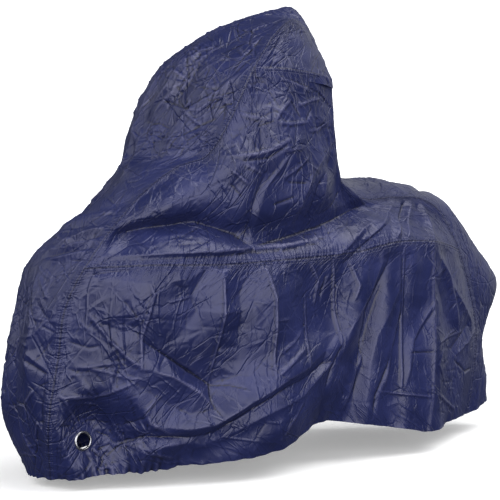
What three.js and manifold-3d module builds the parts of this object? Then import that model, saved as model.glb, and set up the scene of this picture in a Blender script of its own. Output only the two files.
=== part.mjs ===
// Cover of thin coated cloth for a scooter with a tall windscreen, in the shape it hangs in.
// Millimetres, +Z up, +X to the tail, -Y the left side. Heights in the tables are above the ground.
import * as THREE from "three";
import { mergeVertices } from "three/addons/utils/BufferGeometryUtils.js";
import Module from "manifold-3d";

const CLOTH_THICKNESS = 2;
const SEAM_GAP = 0.3;
const MERGE_DISTANCE = 1e-3;
const HANG_POINT = { x: 60, z: 1493 };

// Hood cap: how far its loose hem laps over the panels below, and how far it stands off them
const LAP_DROP = 32;
const LAP_LIFT_AT_SEAM = 4;
const LAP_LIFT_AT_HEM = 7;

// Side folds fade out towards the centre strips over this reach
const CALM_REACH = 90;

// Lock eyelets in the lower side panels
const EYELET = { x: -735, half: 148, z: 150, turn: -0.05, lean: 0.04 };
const EYELET_HOLE_RADIUS = 22.5;
const EYELET_BARREL_RADIUS = 24.5;
const EYELET_RIM_RADIUS = 30;
const EYELET_FLANGE = 2;
const EYELET_GRIP = 4.4;
const EYELET_CLEARANCE = 0.4;
const EYELET_SEGMENTS = 24;
const EYELET_FLAT_REACH = 62;
const EYELET_BLEND_REACH = 140;

// Steps of the grids between the named rows of the tables
const STEPS_HEM_TO_BELT = 14;
const STEPS_BELT_TO_NECK = 10;
const STEPS_NECK_TO_CAP = 13;
const STEPS_CAP_FRONT = 5;
const STEPS_CAP_SIDE = 7;
const STEPS_BACK_TO_SEAT = 19;
const STEPS_ACROSS_STRIP = 8;

// Front strip, from the front hem up the nose and the windscreen to the back edge of the hood.
// centre: middle line, edge: sewn edge, half: half width, lead: how far the left edge runs ahead.
const FRONT_STRIP = [
  { at: "hem", centreX: -815, centreZ: 30, edgeX: -800, edgeZ: 30, half: 70, lead: 0 },
  { at: "wheel", centreX: -886, centreZ: 230, edgeX: -843, edgeZ: 205, half: 136, lead: 0 },
  { at: "mudguard", centreX: -880, centreZ: 400, edgeX: -814, edgeZ: 405, half: 152, lead: 4 },
  { at: "nose low", centreX: -842, centreZ: 525, edgeX: -796, edgeZ: 535, half: 166, lead: 10 },
  { at: "belt", centreX: -792, centreZ: 668, edgeX: -744, edgeZ: 655, half: 190, lead: 10 },
  { at: "nose top", centreX: -668, centreZ: 785, edgeX: -618, edgeZ: 778, half: 200, lead: 42 },
  { at: "neck", centreX: -540, centreZ: 872, edgeX: -508, edgeZ: 866, half: 186, lead: 52 },
  { at: "screen foot", centreX: -474, centreZ: 952, edgeX: -413, edgeZ: 955, half: 192, lead: 18 },
  { at: "screen low", centreX: -425, centreZ: 1002, edgeX: -352, edgeZ: 990, half: 240, lead: 0 },
  { at: "screen middle", centreX: -375, centreZ: 1088, edgeX: -309, edgeZ: 1072, half: 278, lead: 0 },
  { at: "cap", centreX: -288, centreZ: 1275, edgeX: -206, edgeZ: 1262, half: 286, lead: 0 },
  { at: "hood front", centreX: -132, centreZ: 1408, edgeX: -66, edgeZ: 1396, half: 235, lead: 0 },
  { at: "hood top", centreX: -10, centreZ: 1469, edgeX: 34, edgeZ: 1440, half: 190, lead: 0 },
  { at: "hood back", centreX: 152, centreZ: 1516, edgeX: 153, edgeZ: 1415, half: 130, lead: 0 },
];

// Back strip, from under the hood cap down to the seat, over the tail and down to the rear hem
const BACK_STRIP = [
  { at: "cap", centreX: 196, centreZ: 1262, edgeX: 143, edgeZ: 1252, half: 250, lead: 0 },
  { at: "back", centreX: 205, centreZ: 1110, edgeX: 138, edgeZ: 1090, half: 250, lead: 0 },
  { at: "back foot", centreX: 225, centreZ: 1000, edgeX: 142, edgeZ: 965, half: 246, lead: 0 },
  { at: "seat nose", centreX: 318, centreZ: 948, edgeX: 240, edgeZ: 895, half: 230, lead: 0 },
  { at: "seat", centreX: 450, centreZ: 946, edgeX: 335, edgeZ: 864, half: 198, lead: 0 },
  { at: "seat step", centreX: 600, centreZ: 938, edgeX: 490, edgeZ: 872, half: 172, lead: 0 },
  { at: "seat end", centreX: 755, centreZ: 908, edgeX: 604, edgeZ: 872, half: 170, lead: 0 },
  { at: "tail top", centreX: 874, centreZ: 866, edgeX: 714, edgeZ: 838, half: 160, lead: 0 },
  { at: "tail slope", centreX: 970, centreZ: 793, edgeX: 787, edgeZ: 764, half: 155, lead: 0 },
  { at: "belt", centreX: 1054, centreZ: 697, edgeX: 845, edgeZ: 682, half: 150, lead: 0 },
  { at: "plate", centreX: 1184, centreZ: 555, edgeX: 912, edgeZ: 536, half: 140, lead: 0 },
  { at: "under plate", centreX: 1135, centreZ: 425, edgeX: 955, edgeZ: 410, half: 132, lead: 0 },
  { at: "wheel", centreX: 1102, centreZ: 320, edgeX: 962, edgeZ: 300, half: 126, lead: 0 },
  { at: "wheel low", centreX: 1138, centreZ: 205, edgeX: 950, edgeZ: 190, half: 122, lead: 0 },
  { at: "hem", centreX: 1148, centreZ: 104, edgeX: 925, edgeZ: 76, half: 120, lead: 0 },
];

// Belt seam between its two ends on the strips: how far out and how high it runs
const BELT = [
  { x: -593, half: 290, z: 664 },
  { x: -367, half: 338, z: 662 },
  { x: -193, half: 350, z: 670 },
  { x: -25, half: 346, z: 677 },
  { x: 187, half: 335, z: 692 },
  { x: 357, half: 318, z: 720 },
  { x: 540, half: 292, z: 722 },
  { x: 700, half: 232, z: 706 },
];

// Side hem between its two ends on the strips; it is lifted behind the middle fold
const HEM = [
  { x: -752, half: 128, z: 38 },
  { x: -685, half: 166, z: 45 },
  { x: -550, half: 222, z: 50 },
  { x: -409, half: 282, z: 63 },
  { x: -258, half: 334, z: 75 },
  { x: -170, half: 352, z: 88 },
  { x: -100, half: 346, z: 106 },
  { x: -25, half: 320, z: 130 },
  { x: 65, half: 290, z: 148 },
  { x: 175, half: 298, z: 135 },
  { x: 300, half: 312, z: 114 },
  { x: 426, half: 324, z: 92 },
  { x: 514, half: 328, z: 77 },
  { x: 692, half: 250, z: 80 },
];

// Cap seam along the hood's side, between the screen and the hood's back corner
const CAP_SEAM = [
  { x: -110, half: 300, z: 1266 },
  { x: 20, half: 290, z: 1262 },
];

// Folds of the sides in side view, along a path of [x, z] places: a ridge stands out and a trough,
// whose out is below zero, sinks in
const SIDE_FOLDS = [
  { name: "tuck under the bar", width: 52, out: -46,
    path: [[-670, 745], [-395, 790], [-238, 738], [150, 815], [350, 850]] },
  { name: "hollow behind the bar", width: 70, out: -54, path: [[165, 1030], [175, 910]] },
  { name: "bar end", width: 110, out: 24, path: [[-300, 985], [-120, 1005]] },
  { name: "screen foot ridge", width: 54, out: 20, path: [[-600, 800], [-350, 940]] },
  { name: "long pull to the front wheel", width: 60, out: 24, path: [[150, 440], [-180, 290], [-590, 110]] },
  { name: "hollow under the long pull", width: 52, out: -18, path: [[90, 335], [-480, 90]] },
  { name: "short pull to the hem", width: 50, out: 20, path: [[60, 300], [-330, 80]] },
  { name: "hollow over the long pull", width: 68, out: -18, path: [[40, 480], [-520, 250]] },
  { name: "knee bulge", width: 110, out: 18, path: [[-560, 430], [-330, 520]] },
  { name: "pleat 1", width: 52, out: 18, path: [[205, 640], [60, 190]] },
  { name: "hollow 1", width: 50, out: -22, path: [[265, 650], [150, 120]] },
  { name: "pleat 2", width: 52, out: 20, path: [[330, 690], [245, 110]] },
  { name: "hollow 2", width: 50, out: -20, path: [[385, 690], [330, 90]] },
  { name: "pleat 3", width: 52, out: 18, path: [[440, 690], [415, 80]] },
  { name: "hollow 3", width: 50, out: -14, path: [[510, 690], [495, 80]] },
  { name: "pleat 4", width: 52, out: 16, path: [[580, 700], [570, 80]] },
  { name: "hollow 4", width: 62, out: -16, path: [[700, 660], [690, 90]] },
];
const RIGHT_FOLD_SHARE = 0.65;

// Folds of the centre strips, along a path of [along, across] places: along is the way from the
// strip's first end, across the distance from its middle line
const STRIP_FOLDS = [
  { name: "nose pull, upper", strip: "front", width: 34, out: 12, path: [[820, 60], [905, -150]] },
  { name: "nose pull, lower", strip: "front", width: 32, out: -12, path: [[880, 60], [960, -140]] },
  { name: "screen crease, left", strip: "front", width: 46, out: -14, path: [[1180, -40], [1620, -110]] },
  { name: "screen crease, right", strip: "front", width: 50, out: -12, path: [[1150, 90], [1600, 120]] },
  { name: "seat crease", strip: "back", width: 60, out: -10, path: [[380, -90], [700, 70]] },
  { name: "tail crease", strip: "back", width: 50, out: -14, path: [[1180, 0], [1650, 10]] },
];

const CLOTH_COLOUR = 0x20264f;
const METAL_COLOUR = 0xb9bcc2;
const cloth = new THREE.MeshStandardMaterial({ color: CLOTH_COLOUR, roughness: 0.5, metalness: 0 });
const metal = new THREE.MeshStandardMaterial({ color: METAL_COLOUR, roughness: 0.3, metalness: 1 });

const LEFT = -1;
const RIGHT = 1;
const wasm = await Module();
wasm.setup();

const smooth = (low, high, value) => THREE.MathUtils.smoothstep(value, low, high);
const last = (list) => list[list.length - 1];
const vector = (x, y, z) => new THREE.Vector3(x, y, z);

// Bell-shaped height of a fold at a place, by its distance from the fold's path
function foldHeight(px, py, fold) {
  let nearest = Infinity;
  for (let k = 0; k + 1 < fold.path.length; k++) {
    const [x0, y0] = fold.path[k];
    const [x1, y1] = fold.path[k + 1];
    const dx = x1 - x0;
    const dy = y1 - y0;
    const along = ((px - x0) * dx + (py - y0) * dy) / (dx * dx + dy * dy);
    const t = THREE.MathUtils.clamp(along, 0, 1);
    nearest = Math.min(nearest, Math.hypot(px - x0 - t * dx, py - y0 - t * dy));
  }
  const away = nearest / fold.width;
  return fold.out * Math.exp(-away * away);
}

// A smooth curve through points, in their order
function curveThrough(points) {
  return new THREE.CatmullRomCurve3(points, false, "centripetal");
}

// A strip's grid: rows run along it, columns from its left edge to its right edge
function stripGrid(table, legs, foldsOf) {
  const centre = curveThrough(table.map((r) => vector(r.centreX, 0, r.centreZ)));
  const edge = curveThrough(table.map((r) => vector(r.edgeX, r.half, r.edgeZ)));
  const leads = curveThrough(table.map((r, i) => vector(i, r.lead, 0)));
  const stations = [0];
  for (const leg of legs) {
    const from = table.findIndex((r) => r.at === leg.from) / (table.length - 1);
    const to = table.findIndex((r) => r.at === leg.to) / (table.length - 1);
    for (let k = 1; k <= leg.steps; k++) stations.push(from + ((to - from) * k) / leg.steps);
  }
  let along = 0;
  let before = centre.getPoint(0);
  return stations.map((s) => {
    const c = centre.getPoint(s);
    const e = edge.getPoint(s);
    const lead = leads.getPoint(s).y;
    const rise = centre.getTangent(s);
    const outward = vector(-rise.z, 0, rise.x);
    along += c.distanceTo(before);
    before = c;
    const row = [];
    for (let k = 0; k <= STEPS_ACROSS_STRIP; k++) {
      const t = (2 * k) / STEPS_ACROSS_STRIP - 1;
      const p = vector(c.x + (e.x - c.x) * t * t + lead * t, e.y * t, c.z + (e.z - c.z) * t * t);
      const calm = 1 - t * t * t * t;
      for (const f of STRIP_FOLDS) {
        if (f.strip !== foldsOf) continue;
        p.addScaledVector(outward, foldHeight(along, p.y, f) * calm);
      }
      row.push(p);
    }
    return row;
  });
}

// A curve from one seam end to another through the rows of a table
function seamCurve(start, rows, end, side) {
  return curveThrough([start, ...rows.map((r) => vector(r.x, side * r.half, r.z)), end]);
}

// A four-sided patch stretched between its edges, rows from bottom to top
function patch(bottom, top, left, right) {
  const rows = left.length - 1;
  const columns = bottom.length - 1;
  const grid = [];
  for (let i = 0; i <= rows; i++) {
    const v = i / rows;
    const row = [];
    for (let j = 0; j <= columns; j++) {
      const u = j / columns;
      const p = bottom[j].clone().multiplyScalar(1 - v).addScaledVector(top[j], v);
      p.addScaledVector(left[i], 1 - u).addScaledVector(right[i], u);
      p.addScaledVector(bottom[0], -(1 - u) * (1 - v)).addScaledVector(bottom[columns], -u * (1 - v));
      p.addScaledVector(top[0], -(1 - u) * v).addScaledVector(top[columns], -u * v);
      row.push(p);
    }
    grid.push(row);
  }
  return grid;
}

// Direction square to a grid at one place, pointing out of the cover
function gridNormal(grid, i, j, facing) {
  const up = grid[Math.min(i + 1, grid.length - 1)][j].clone().sub(grid[Math.max(i - 1, 0)][j]);
  const row = grid[i];
  const over = row[Math.min(j + 1, row.length - 1)].clone().sub(row[Math.max(j - 1, 0)]);
  return over.cross(up).normalize().multiplyScalar(facing);
}

const strips = {
  front: stripGrid(FRONT_STRIP, [
    { from: "hem", to: "belt", steps: STEPS_HEM_TO_BELT },
    { from: "belt", to: "neck", steps: STEPS_BELT_TO_NECK },
    { from: "neck", to: "cap", steps: STEPS_NECK_TO_CAP },
    { from: "cap", to: "hood front", steps: STEPS_CAP_FRONT },
    { from: "hood front", to: "hood back", steps: STEPS_CAP_SIDE },
  ], "front"),
  back: stripGrid(BACK_STRIP, [
    { from: "cap", to: "tail top", steps: STEPS_BACK_TO_SEAT },
    { from: "tail top", to: "belt", steps: STEPS_BELT_TO_NECK },
    { from: "belt", to: "hem", steps: STEPS_HEM_TO_BELT },
  ], "back"),
};
const BELT_ROW = STEPS_HEM_TO_BELT;
const NECK_ROW = BELT_ROW + STEPS_BELT_TO_NECK;
const CAP_ROW = NECK_ROW + STEPS_NECK_TO_CAP;
const HOOD_ROW = CAP_ROW + STEPS_CAP_FRONT;
const TAIL_ROW = STEPS_BACK_TO_SEAT;
const REAR_BELT_ROW = TAIL_ROW + STEPS_BELT_TO_NECK;

// One side of the cover: its two panels and the line of the cap seam
function sidePanels(side) {
  const column = side === LEFT ? 0 : STEPS_ACROSS_STRIP;
  const front = strips.front.map((row) => row[column]);
  const back = strips.back.map((row) => row[column]);
  const columns = STEPS_NECK_TO_CAP + STEPS_CAP_SIDE + STEPS_BACK_TO_SEAT;
  const belt = seamCurve(front[BELT_ROW], BELT, back[REAR_BELT_ROW], side).getSpacedPoints(columns);
  const hem = seamCurve(front[0], HEM, last(back), side).getSpacedPoints(columns);
  const capSeam = seamCurve(front[CAP_ROW], CAP_SEAM, back[0], side).getSpacedPoints(STEPS_CAP_SIDE);
  const top = [...front.slice(NECK_ROW, CAP_ROW), ...capSeam, ...back.slice(1, TAIL_ROW + 1)];
  const rearUp = back.slice(TAIL_ROW, REAR_BELT_ROW + 1).reverse();
  const rearLow = back.slice(REAR_BELT_ROW).reverse();
  const upper = patch(belt, top, front.slice(BELT_ROW, NECK_ROW + 1), rearUp);
  const lower = patch(hem, belt, front.slice(0, BELT_ROW + 1), rearLow);
  const seams = [...front, ...back, ...capSeam];
  const foldAt = (p) => {
    const near = Math.min(...seams.map((q) => q.distanceTo(p)));
    const calm = smooth(0, CALM_REACH, near);
    const share = side === LEFT ? 1 : RIGHT_FOLD_SHARE;
    let out = 0;
    for (const f of SIDE_FOLDS) out += foldHeight(p.x, p.z, f);
    return out * calm * share;
  };
  for (const grid of [upper, lower]) {
    for (const row of grid) {
      for (const p of row) p.y += side * foldAt(p);
    }
  }
  return { upper, lower, capSeam };
}

// The cloth lies flat around an eyelet
function eyeletPlace(side) {
  const normal = vector(-Math.sin(EYELET.turn), side * Math.cos(EYELET.turn), EYELET.lean).normalize();
  return { centre: vector(EYELET.x, side * EYELET.half, EYELET.z), normal };
}

function flattenForEyelet(grid, place) {
  for (let i = 0; i < grid.length; i++) {
    for (let j = 1; j < grid[i].length - 1; j++) {
      const p = grid[i][j];
      const offset = p.clone().sub(place.centre);
      const far = Math.hypot(offset.x, offset.z);
      const share = 1 - smooth(EYELET_FLAT_REACH, EYELET_BLEND_REACH, far);
      p.y -= (share * offset.dot(place.normal)) / place.normal.y;
    }
  }
}

const sides = { [LEFT]: sidePanels(LEFT), [RIGHT]: sidePanels(RIGHT) };
for (const side of [LEFT, RIGHT]) flattenForEyelet(sides[side].lower, eyeletPlace(side));

// The hood cap: sides and back of the hood, with a loose hem lapping over the cap seam
function capGrid() {
  const sideLines = (side) => {
    const { upper, capSeam } = sides[side];
    const facing = side === LEFT ? 1 : -1;
    const rows = upper.length - 1;
    return capSeam.map((p, k) => {
      const j = STEPS_NECK_TO_CAP + k;
      const down = upper[rows - 1][j].clone().sub(p).normalize();
      return { seam: p, down, out: gridNormal(upper, rows, j, facing) };
    });
  };
  const back = strips.back[0].map((p, k) => {
    const down = strips.back[1][k].clone().sub(p).normalize();
    return { seam: p, down, out: gridNormal(strips.back, 0, k, -1) };
  });
  const corner = (a, b) => {
    const out = a.out.clone().add(b.out).normalize();
    const down = a.down.clone().add(b.down).normalize();
    return { seam: a.seam, down, out: out.divideScalar(out.dot(a.out)) };
  };
  const left = sideLines(LEFT);
  const right = sideLines(RIGHT).reverse();
  const lines = [
    ...left.slice(0, -1),
    corner(last(left), back[0]),
    ...back.slice(1, -1),
    corner(last(back), right[0]),
    ...right.slice(1),
  ];
  const raised = lines.map((l) => l.seam.clone().addScaledVector(l.out, LAP_LIFT_AT_SEAM));
  const hem = lines.map((l) => {
    return l.seam.clone().addScaledVector(l.down, LAP_DROP).addScaledVector(l.out, LAP_LIFT_AT_HEM);
  });
  const leftEdge = strips.front.map((row) => row[0]);
  const rightEdge = strips.front.map((row) => last(row));
  const top = [
    ...leftEdge.slice(HOOD_ROW),
    ...last(strips.front).slice(1, -1),
    ...rightEdge.slice(HOOD_ROW).reverse(),
  ];
  const frontLeft = [raised[0], ...leftEdge.slice(CAP_ROW + 1, HOOD_ROW + 1)];
  const frontRight = [last(raised), ...rightEdge.slice(CAP_ROW + 1, HOOD_ROW + 1)];
  return [hem, ...patch(raised, top, frontLeft, frontRight)];
}

// Every cloth piece: its grid, which way the grid faces, and whether an eyelet goes through it
const panels = [
  { name: "front_strip", grid: strips.front, facing: -1 },
  { name: "back_strip", grid: strips.back, facing: -1 },
  { name: "hood_cap", grid: capGrid(), facing: 1 },
  { name: "upper_side_left", grid: sides[LEFT].upper, facing: 1 },
  { name: "upper_side_right", grid: sides[RIGHT].upper, facing: -1 },
  { name: "lower_side_left", grid: sides[LEFT].lower, facing: 1, eyeletSide: LEFT },
  { name: "lower_side_right", grid: sides[RIGHT].lower, facing: -1, eyeletSide: RIGHT },
];

// Panels that meet in a seam share one direction there, so that their rims lie side by side
const seamKey = (p) => [p.x, p.y, p.z].map((v) => v.toFixed(2)).join(" ");
const shared = new Map();
for (const { grid, facing } of panels) {
  for (let i = 0; i < grid.length; i++) {
    for (let j = 0; j < grid[i].length; j++) {
      const key = seamKey(grid[i][j]);
      const sum = shared.get(key) ?? vector(0, 0, 0);
      shared.set(key, sum.add(gridNormal(grid, i, j, facing)));
    }
  }
}

// A closed sheet on a grid, drawn back by half a gap at its edges; both faces are split along the
// shorter diagonal of each cell, so that they stay a thickness apart
function sheetGeometry({ grid, facing }) {
  const rows = grid.length;
  const columns = grid[0].length;
  const positions = [];
  const put = (p) => positions.push(p.x, p.y, p.z);
  const outer = [];
  const inner = [];
  for (let i = 0; i < rows; i++) {
    for (let j = 0; j < columns; j++) {
      const p = grid[i][j];
      const normal = shared.get(seamKey(p)).clone().normalize();
      const shift = vector(0, 0, 0);
      const drawBack = (towards) => {
        const way = towards.clone().sub(p);
        way.addScaledVector(normal, -way.dot(normal)).normalize();
        shift.addScaledVector(way, SEAM_GAP / 2);
      };
      if (i === 0) drawBack(grid[1][j]);
      if (i === rows - 1) drawBack(grid[rows - 2][j]);
      if (j === 0) drawBack(grid[i][1]);
      if (j === columns - 1) drawBack(grid[i][columns - 2]);
      const middle = p.clone().add(shift);
      outer.push(middle.clone().addScaledVector(normal, CLOTH_THICKNESS / 2));
      inner.push(middle.clone().addScaledVector(normal, -CLOTH_THICKNESS / 2));
    }
  }
  outer.forEach(put);
  inner.forEach(put);
  const count = rows * columns;
  const index = [];
  const triangle = (a, b, c) => (facing > 0 ? index.push(a, b, c) : index.push(a, c, b));
  const quad = (a, b, c, d) => {
    triangle(a, b, c);
    triangle(a, c, d);
  };
  for (let i = 0; i < rows - 1; i++) {
    for (let j = 0; j < columns - 1; j++) {
      const a = i * columns + j;
      const b = a + 1;
      const c = b + columns;
      const d = a + columns;
      const first = grid[i][j].distanceTo(grid[i + 1][j + 1]);
      const second = grid[i][j + 1].distanceTo(grid[i + 1][j]);
      const corners = first < second ? [a, b, c, d] : [b, c, d, a];
      quad(...corners);
      const [start, ...rest] = corners.map((k) => count + k);
      quad(start, ...rest.reverse());
    }
  }
  const rim = [];
  for (let j = 0; j < columns - 1; j++) rim.push(j);
  for (let i = 0; i < rows - 1; i++) rim.push(i * columns + columns - 1);
  for (let j = columns - 1; j > 0; j--) rim.push((rows - 1) * columns + j);
  for (let i = rows - 1; i > 0; i--) rim.push(i * columns);
  const keys = grid.flat().map(seamKey);
  rim.forEach((a, k) => {
    const b = rim[(k + 1) % rim.length];
    if (keys[a] < keys[b]) quad(a, count + a, count + b, b);
    else quad(b, a, count + a, count + b);
  });
  const geometry = new THREE.BufferGeometry();
  geometry.setAttribute("position", new THREE.Float32BufferAttribute(positions, 3));
  geometry.setIndex(index);
  return geometry;
}

function toSolid(geometry) {
  const vertProperties = new Float32Array(geometry.attributes.position.array);
  const triVerts = new Uint32Array(geometry.index.array);
  return new wasm.Manifold(new wasm.Mesh({ numProp: 3, vertProperties, triVerts }));
}

function fromSolid(solid) {
  const { vertProperties, triVerts } = solid.getMesh();
  const geometry = new THREE.BufferGeometry();
  geometry.setAttribute("position", new THREE.Float32BufferAttribute(vertProperties, 3));
  geometry.setIndex(Array.from(triVerts));
  return geometry;
}

function joined(geometry) {
  geometry.deleteAttribute("uv");
  geometry.deleteAttribute("normal");
  return mergeVertices(geometry, MERGE_DISTANCE);
}

// Turns a piece made round the Y axis so that it sits on an eyelet's place
function seated(geometry, place) {
  const turn = new THREE.Quaternion().setFromUnitVectors(vector(0, 1, 0), place.normal);
  return geometry.applyQuaternion(turn).translate(place.centre.x, place.centre.y, place.centre.z);
}

// Rolled metal ring: a flange on each face of the cloth and a barrel through the hole
function eyeletGeometry(place) {
  const grip = EYELET_GRIP / 2;
  const face = grip + EYELET_FLANGE;
  const bevel = EYELET_FLANGE / 2;
  const profile = [
    [EYELET_HOLE_RADIUS, -face + bevel],
    [EYELET_HOLE_RADIUS + bevel, -face],
    [EYELET_RIM_RADIUS - bevel, -face],
    [EYELET_RIM_RADIUS, -grip],
    [EYELET_BARREL_RADIUS, -grip],
    [EYELET_BARREL_RADIUS, grip],
    [EYELET_RIM_RADIUS, grip],
    [EYELET_RIM_RADIUS - bevel, face],
    [EYELET_HOLE_RADIUS + bevel, face],
    [EYELET_HOLE_RADIUS, face - bevel],
    [EYELET_HOLE_RADIUS, -face + bevel],
  ].map(([r, h]) => new THREE.Vector2(r, h));
  return seated(joined(new THREE.LatheGeometry(profile, EYELET_SEGMENTS)), place);
}

// Hole in the cloth for an eyelet's barrel
function holeGeometry(place) {
  const radius = EYELET_BARREL_RADIUS + EYELET_CLEARANCE;
  const depth = EYELET_RIM_RADIUS;
  return seated(joined(new THREE.CylinderGeometry(radius, radius, depth, EYELET_SEGMENTS)), place);
}

const cover = new THREE.Group();
cover.name = "scooter_cover";

function add(name, geometry, material) {
  geometry.translate(-HANG_POINT.x, 0, -HANG_POINT.z);
  geometry.computeVertexNormals();
  const mesh = new THREE.Mesh(geometry, material);
  mesh.name = name;
  cover.add(mesh);
}

for (const panel of panels) {
  let geometry = sheetGeometry(panel);
  if (panel.eyeletSide) {
    const hole = holeGeometry(eyeletPlace(panel.eyeletSide));
    geometry = fromSolid(toSolid(geometry).subtract(toSolid(hole)));
  }
  add(panel.name, geometry, cloth);
}
add("eyelet_left", eyeletGeometry(eyeletPlace(LEFT)), metal);
add("eyelet_right", eyeletGeometry(eyeletPlace(RIGHT)), metal);

export default cover;
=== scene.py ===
"""Looks of a navy scooter cover: thin coated cloth hanging in folds over a tall windscreen."""
import math

import bpy
import numpy as np
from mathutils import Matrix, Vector, geometry, kdtree


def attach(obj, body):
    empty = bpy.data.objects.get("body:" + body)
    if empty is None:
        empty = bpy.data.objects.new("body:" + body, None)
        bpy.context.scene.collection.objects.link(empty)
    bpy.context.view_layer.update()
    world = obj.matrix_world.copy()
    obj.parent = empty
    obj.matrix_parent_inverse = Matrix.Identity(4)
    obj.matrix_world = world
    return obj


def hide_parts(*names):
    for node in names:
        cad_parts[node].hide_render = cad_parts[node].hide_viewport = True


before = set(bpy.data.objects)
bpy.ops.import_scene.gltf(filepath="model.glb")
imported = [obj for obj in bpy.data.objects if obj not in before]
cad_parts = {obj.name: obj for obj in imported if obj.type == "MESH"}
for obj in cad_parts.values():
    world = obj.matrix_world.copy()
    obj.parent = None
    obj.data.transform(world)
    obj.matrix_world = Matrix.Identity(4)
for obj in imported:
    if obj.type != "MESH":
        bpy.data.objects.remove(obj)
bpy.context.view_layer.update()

# Tables are in millimetres above the ground, +X to the tail; the row frame is in metres from the hang point
HANG_POINT = np.array((60.0, 0.0, 1493.0))
MM = 0.001
LEFT, RIGHT = -1, 1


def table(columns, *rows):
    """Rows of a table as dicts with the named columns."""
    return [dict(zip(columns.split(), row)) for row in rows]


def creases(*rows):
    """Creases: how far each reaches to its left and its right hand, how far it stands out, and its path."""
    return [{"left": left, "right": right, "out": out, "path": path} for left, right, out, *path in rows]


# Front strip, from the front hem up the nose and the windscreen to the back edge of the hood
FRONT_STRIP = table(
    "at centre_x centre_z edge_x edge_z half lead",
    ("hem", -815, 30, -800, 30, 70, 0),
    ("wheel", -886, 230, -843, 205, 136, 0),
    ("mudguard", -880, 400, -814, 405, 152, 4),
    ("nose low", -842, 525, -796, 535, 166, 10),
    ("belt", -792, 668, -744, 655, 190, 10),
    ("nose top", -668, 785, -618, 778, 200, 42),
    ("neck", -540, 872, -508, 866, 186, 52),
    ("screen foot", -474, 952, -413, 955, 192, 18),
    ("screen low", -425, 1002, -352, 990, 240, 0),
    ("screen middle", -375, 1088, -309, 1072, 278, 0),
    ("cap", -288, 1275, -206, 1262, 286, 0),
    ("hood front", -132, 1408, -66, 1396, 235, 0),
    ("hood top", -10, 1469, 34, 1440, 190, 0),
    ("hood back", 152, 1516, 153, 1415, 130, 0),
)

# Back strip, from under the hood cap down to the seat, over the tail and down to the rear hem
BACK_STRIP = table(
    "at centre_x centre_z edge_x edge_z half lead",
    ("cap", 196, 1262, 143, 1252, 250, 0),
    ("back", 205, 1110, 138, 1090, 250, 0),
    ("back foot", 225, 1000, 142, 965, 246, 0),
    ("seat nose", 318, 948, 240, 895, 230, 0),
    ("seat", 450, 946, 335, 864, 198, 0),
    ("seat step", 600, 938, 490, 872, 172, 0),
    ("seat end", 755, 908, 604, 872, 170, 0),
    ("tail top", 874, 866, 714, 838, 160, 0),
    ("tail slope", 970, 793, 787, 764, 155, 0),
    ("belt", 1054, 697, 845, 682, 150, 0),
    ("plate", 1184, 555, 912, 536, 140, 0),
    ("under plate", 1135, 425, 955, 410, 132, 0),
    ("wheel", 1102, 320, 962, 300, 126, 0),
    ("wheel low", 1138, 205, 950, 190, 122, 0),
    ("hem", 1148, 104, 925, 76, 120, 0),
)

# Lines of the sides between their ends on the strips: how far out and how high they run
BELT = table(
    "x half z",
    (-593, 290, 664), (-367, 338, 662), (-193, 350, 670), (-25, 346, 677),
    (187, 335, 692), (357, 318, 720), (540, 292, 722), (700, 232, 706),
)
HEM = table(
    "x half z",
    (-752, 128, 38), (-685, 166, 45), (-550, 222, 50), (-409, 282, 63), (-258, 334, 75), (-170, 352, 88),
    (-100, 346, 106), (-25, 320, 130), (65, 290, 148), (175, 298, 135), (300, 312, 114),
    (426, 324, 92), (514, 328, 77), (692, 250, 80),
)
CAP_SEAM = table("x half z", (-110, 300, 1266), (20, 290, 1262))

# Steps of the grids between the named rows of the strips
HEM_TO_BELT, BELT_TO_NECK, NECK_TO_CAP = 176, 124, 162
CAP_FRONT, CAP_SIDE, BACK_TO_SEAT = 62, 88, 236
ACROSS_STRIP = 136
LAP_ROWS = 8

# Hood cap: how far its loose hem laps over the panels below, and how far it stands off them
LAP_DROP, LAP_LIFT_AT_SEAM, LAP_LIFT_AT_HEM = 32, 2, 4
LAP_BLUR = 12

# Lock eyelets
EYELET_X, EYELET_HALF, EYELET_Z = -735, 148, 150
EYELET_TURN, EYELET_LEAN = -0.05, 0.04
EYELET_FLAT_REACH, EYELET_BLEND_REACH, EYELET_SEAM_REACH = 50, 170, 65
EYELET_HOLE, EYELET_RIM = 22.5, 30
EYELET_BULGE, EYELET_ROLL, EYELET_STEPS = 4.2, 0.25, (64, 20)
EYELET_CLOTH_HOLE = 26
EYELET_CALM = (30, 56)

# Large soft folds of the sides in side view, along a path of (x, z) places
FOLD_CALM_REACH = 90
SIDE_FOLDS = table(
    "name width out path",
    ("tuck under the bar", 52, -46, [(-670, 745), (-395, 790), (-238, 738), (150, 815), (350, 850)]),
    ("hollow behind the bar", 70, -54, [(165, 1030), (175, 910)]),
    ("bar end", 110, 24, [(-300, 985), (-120, 1005)]),
    ("screen foot ridge", 54, 20, [(-600, 800), (-350, 940)]),
    ("long pull to the front wheel", 60, 15, [(150, 440), (-180, 290), (-590, 110)]),
    ("hollow under the long pull", 52, -12, [(90, 335), (-480, 90)]),
    ("short pull to the hem", 50, 11, [(60, 300), (-330, 80)]),
    ("hollow over the long pull", 68, -9, [(40, 480), (-520, 250)]),
    ("knee bulge", 110, 12, [(-560, 430), (-330, 520)]),
    ("pleat 1", 52, 8, [(205, 640), (60, 190)]),
    ("hollow 1", 50, -10, [(265, 650), (150, 120)]),
    ("pleat 2", 52, 9, [(330, 690), (245, 110)]),
    ("hollow 2", 50, -9, [(385, 690), (330, 90)]),
    ("pleat 3", 52, 8, [(440, 690), (415, 80)]),
    ("hollow 3", 50, -6, [(510, 690), (495, 80)]),
    ("pleat 4", 52, 8, [(580, 700), (570, 80)]),
    ("hollow 4", 62, -8, [(700, 660), (690, 90)]),
)
RIGHT_FOLD_SHARE = 0.65

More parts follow.
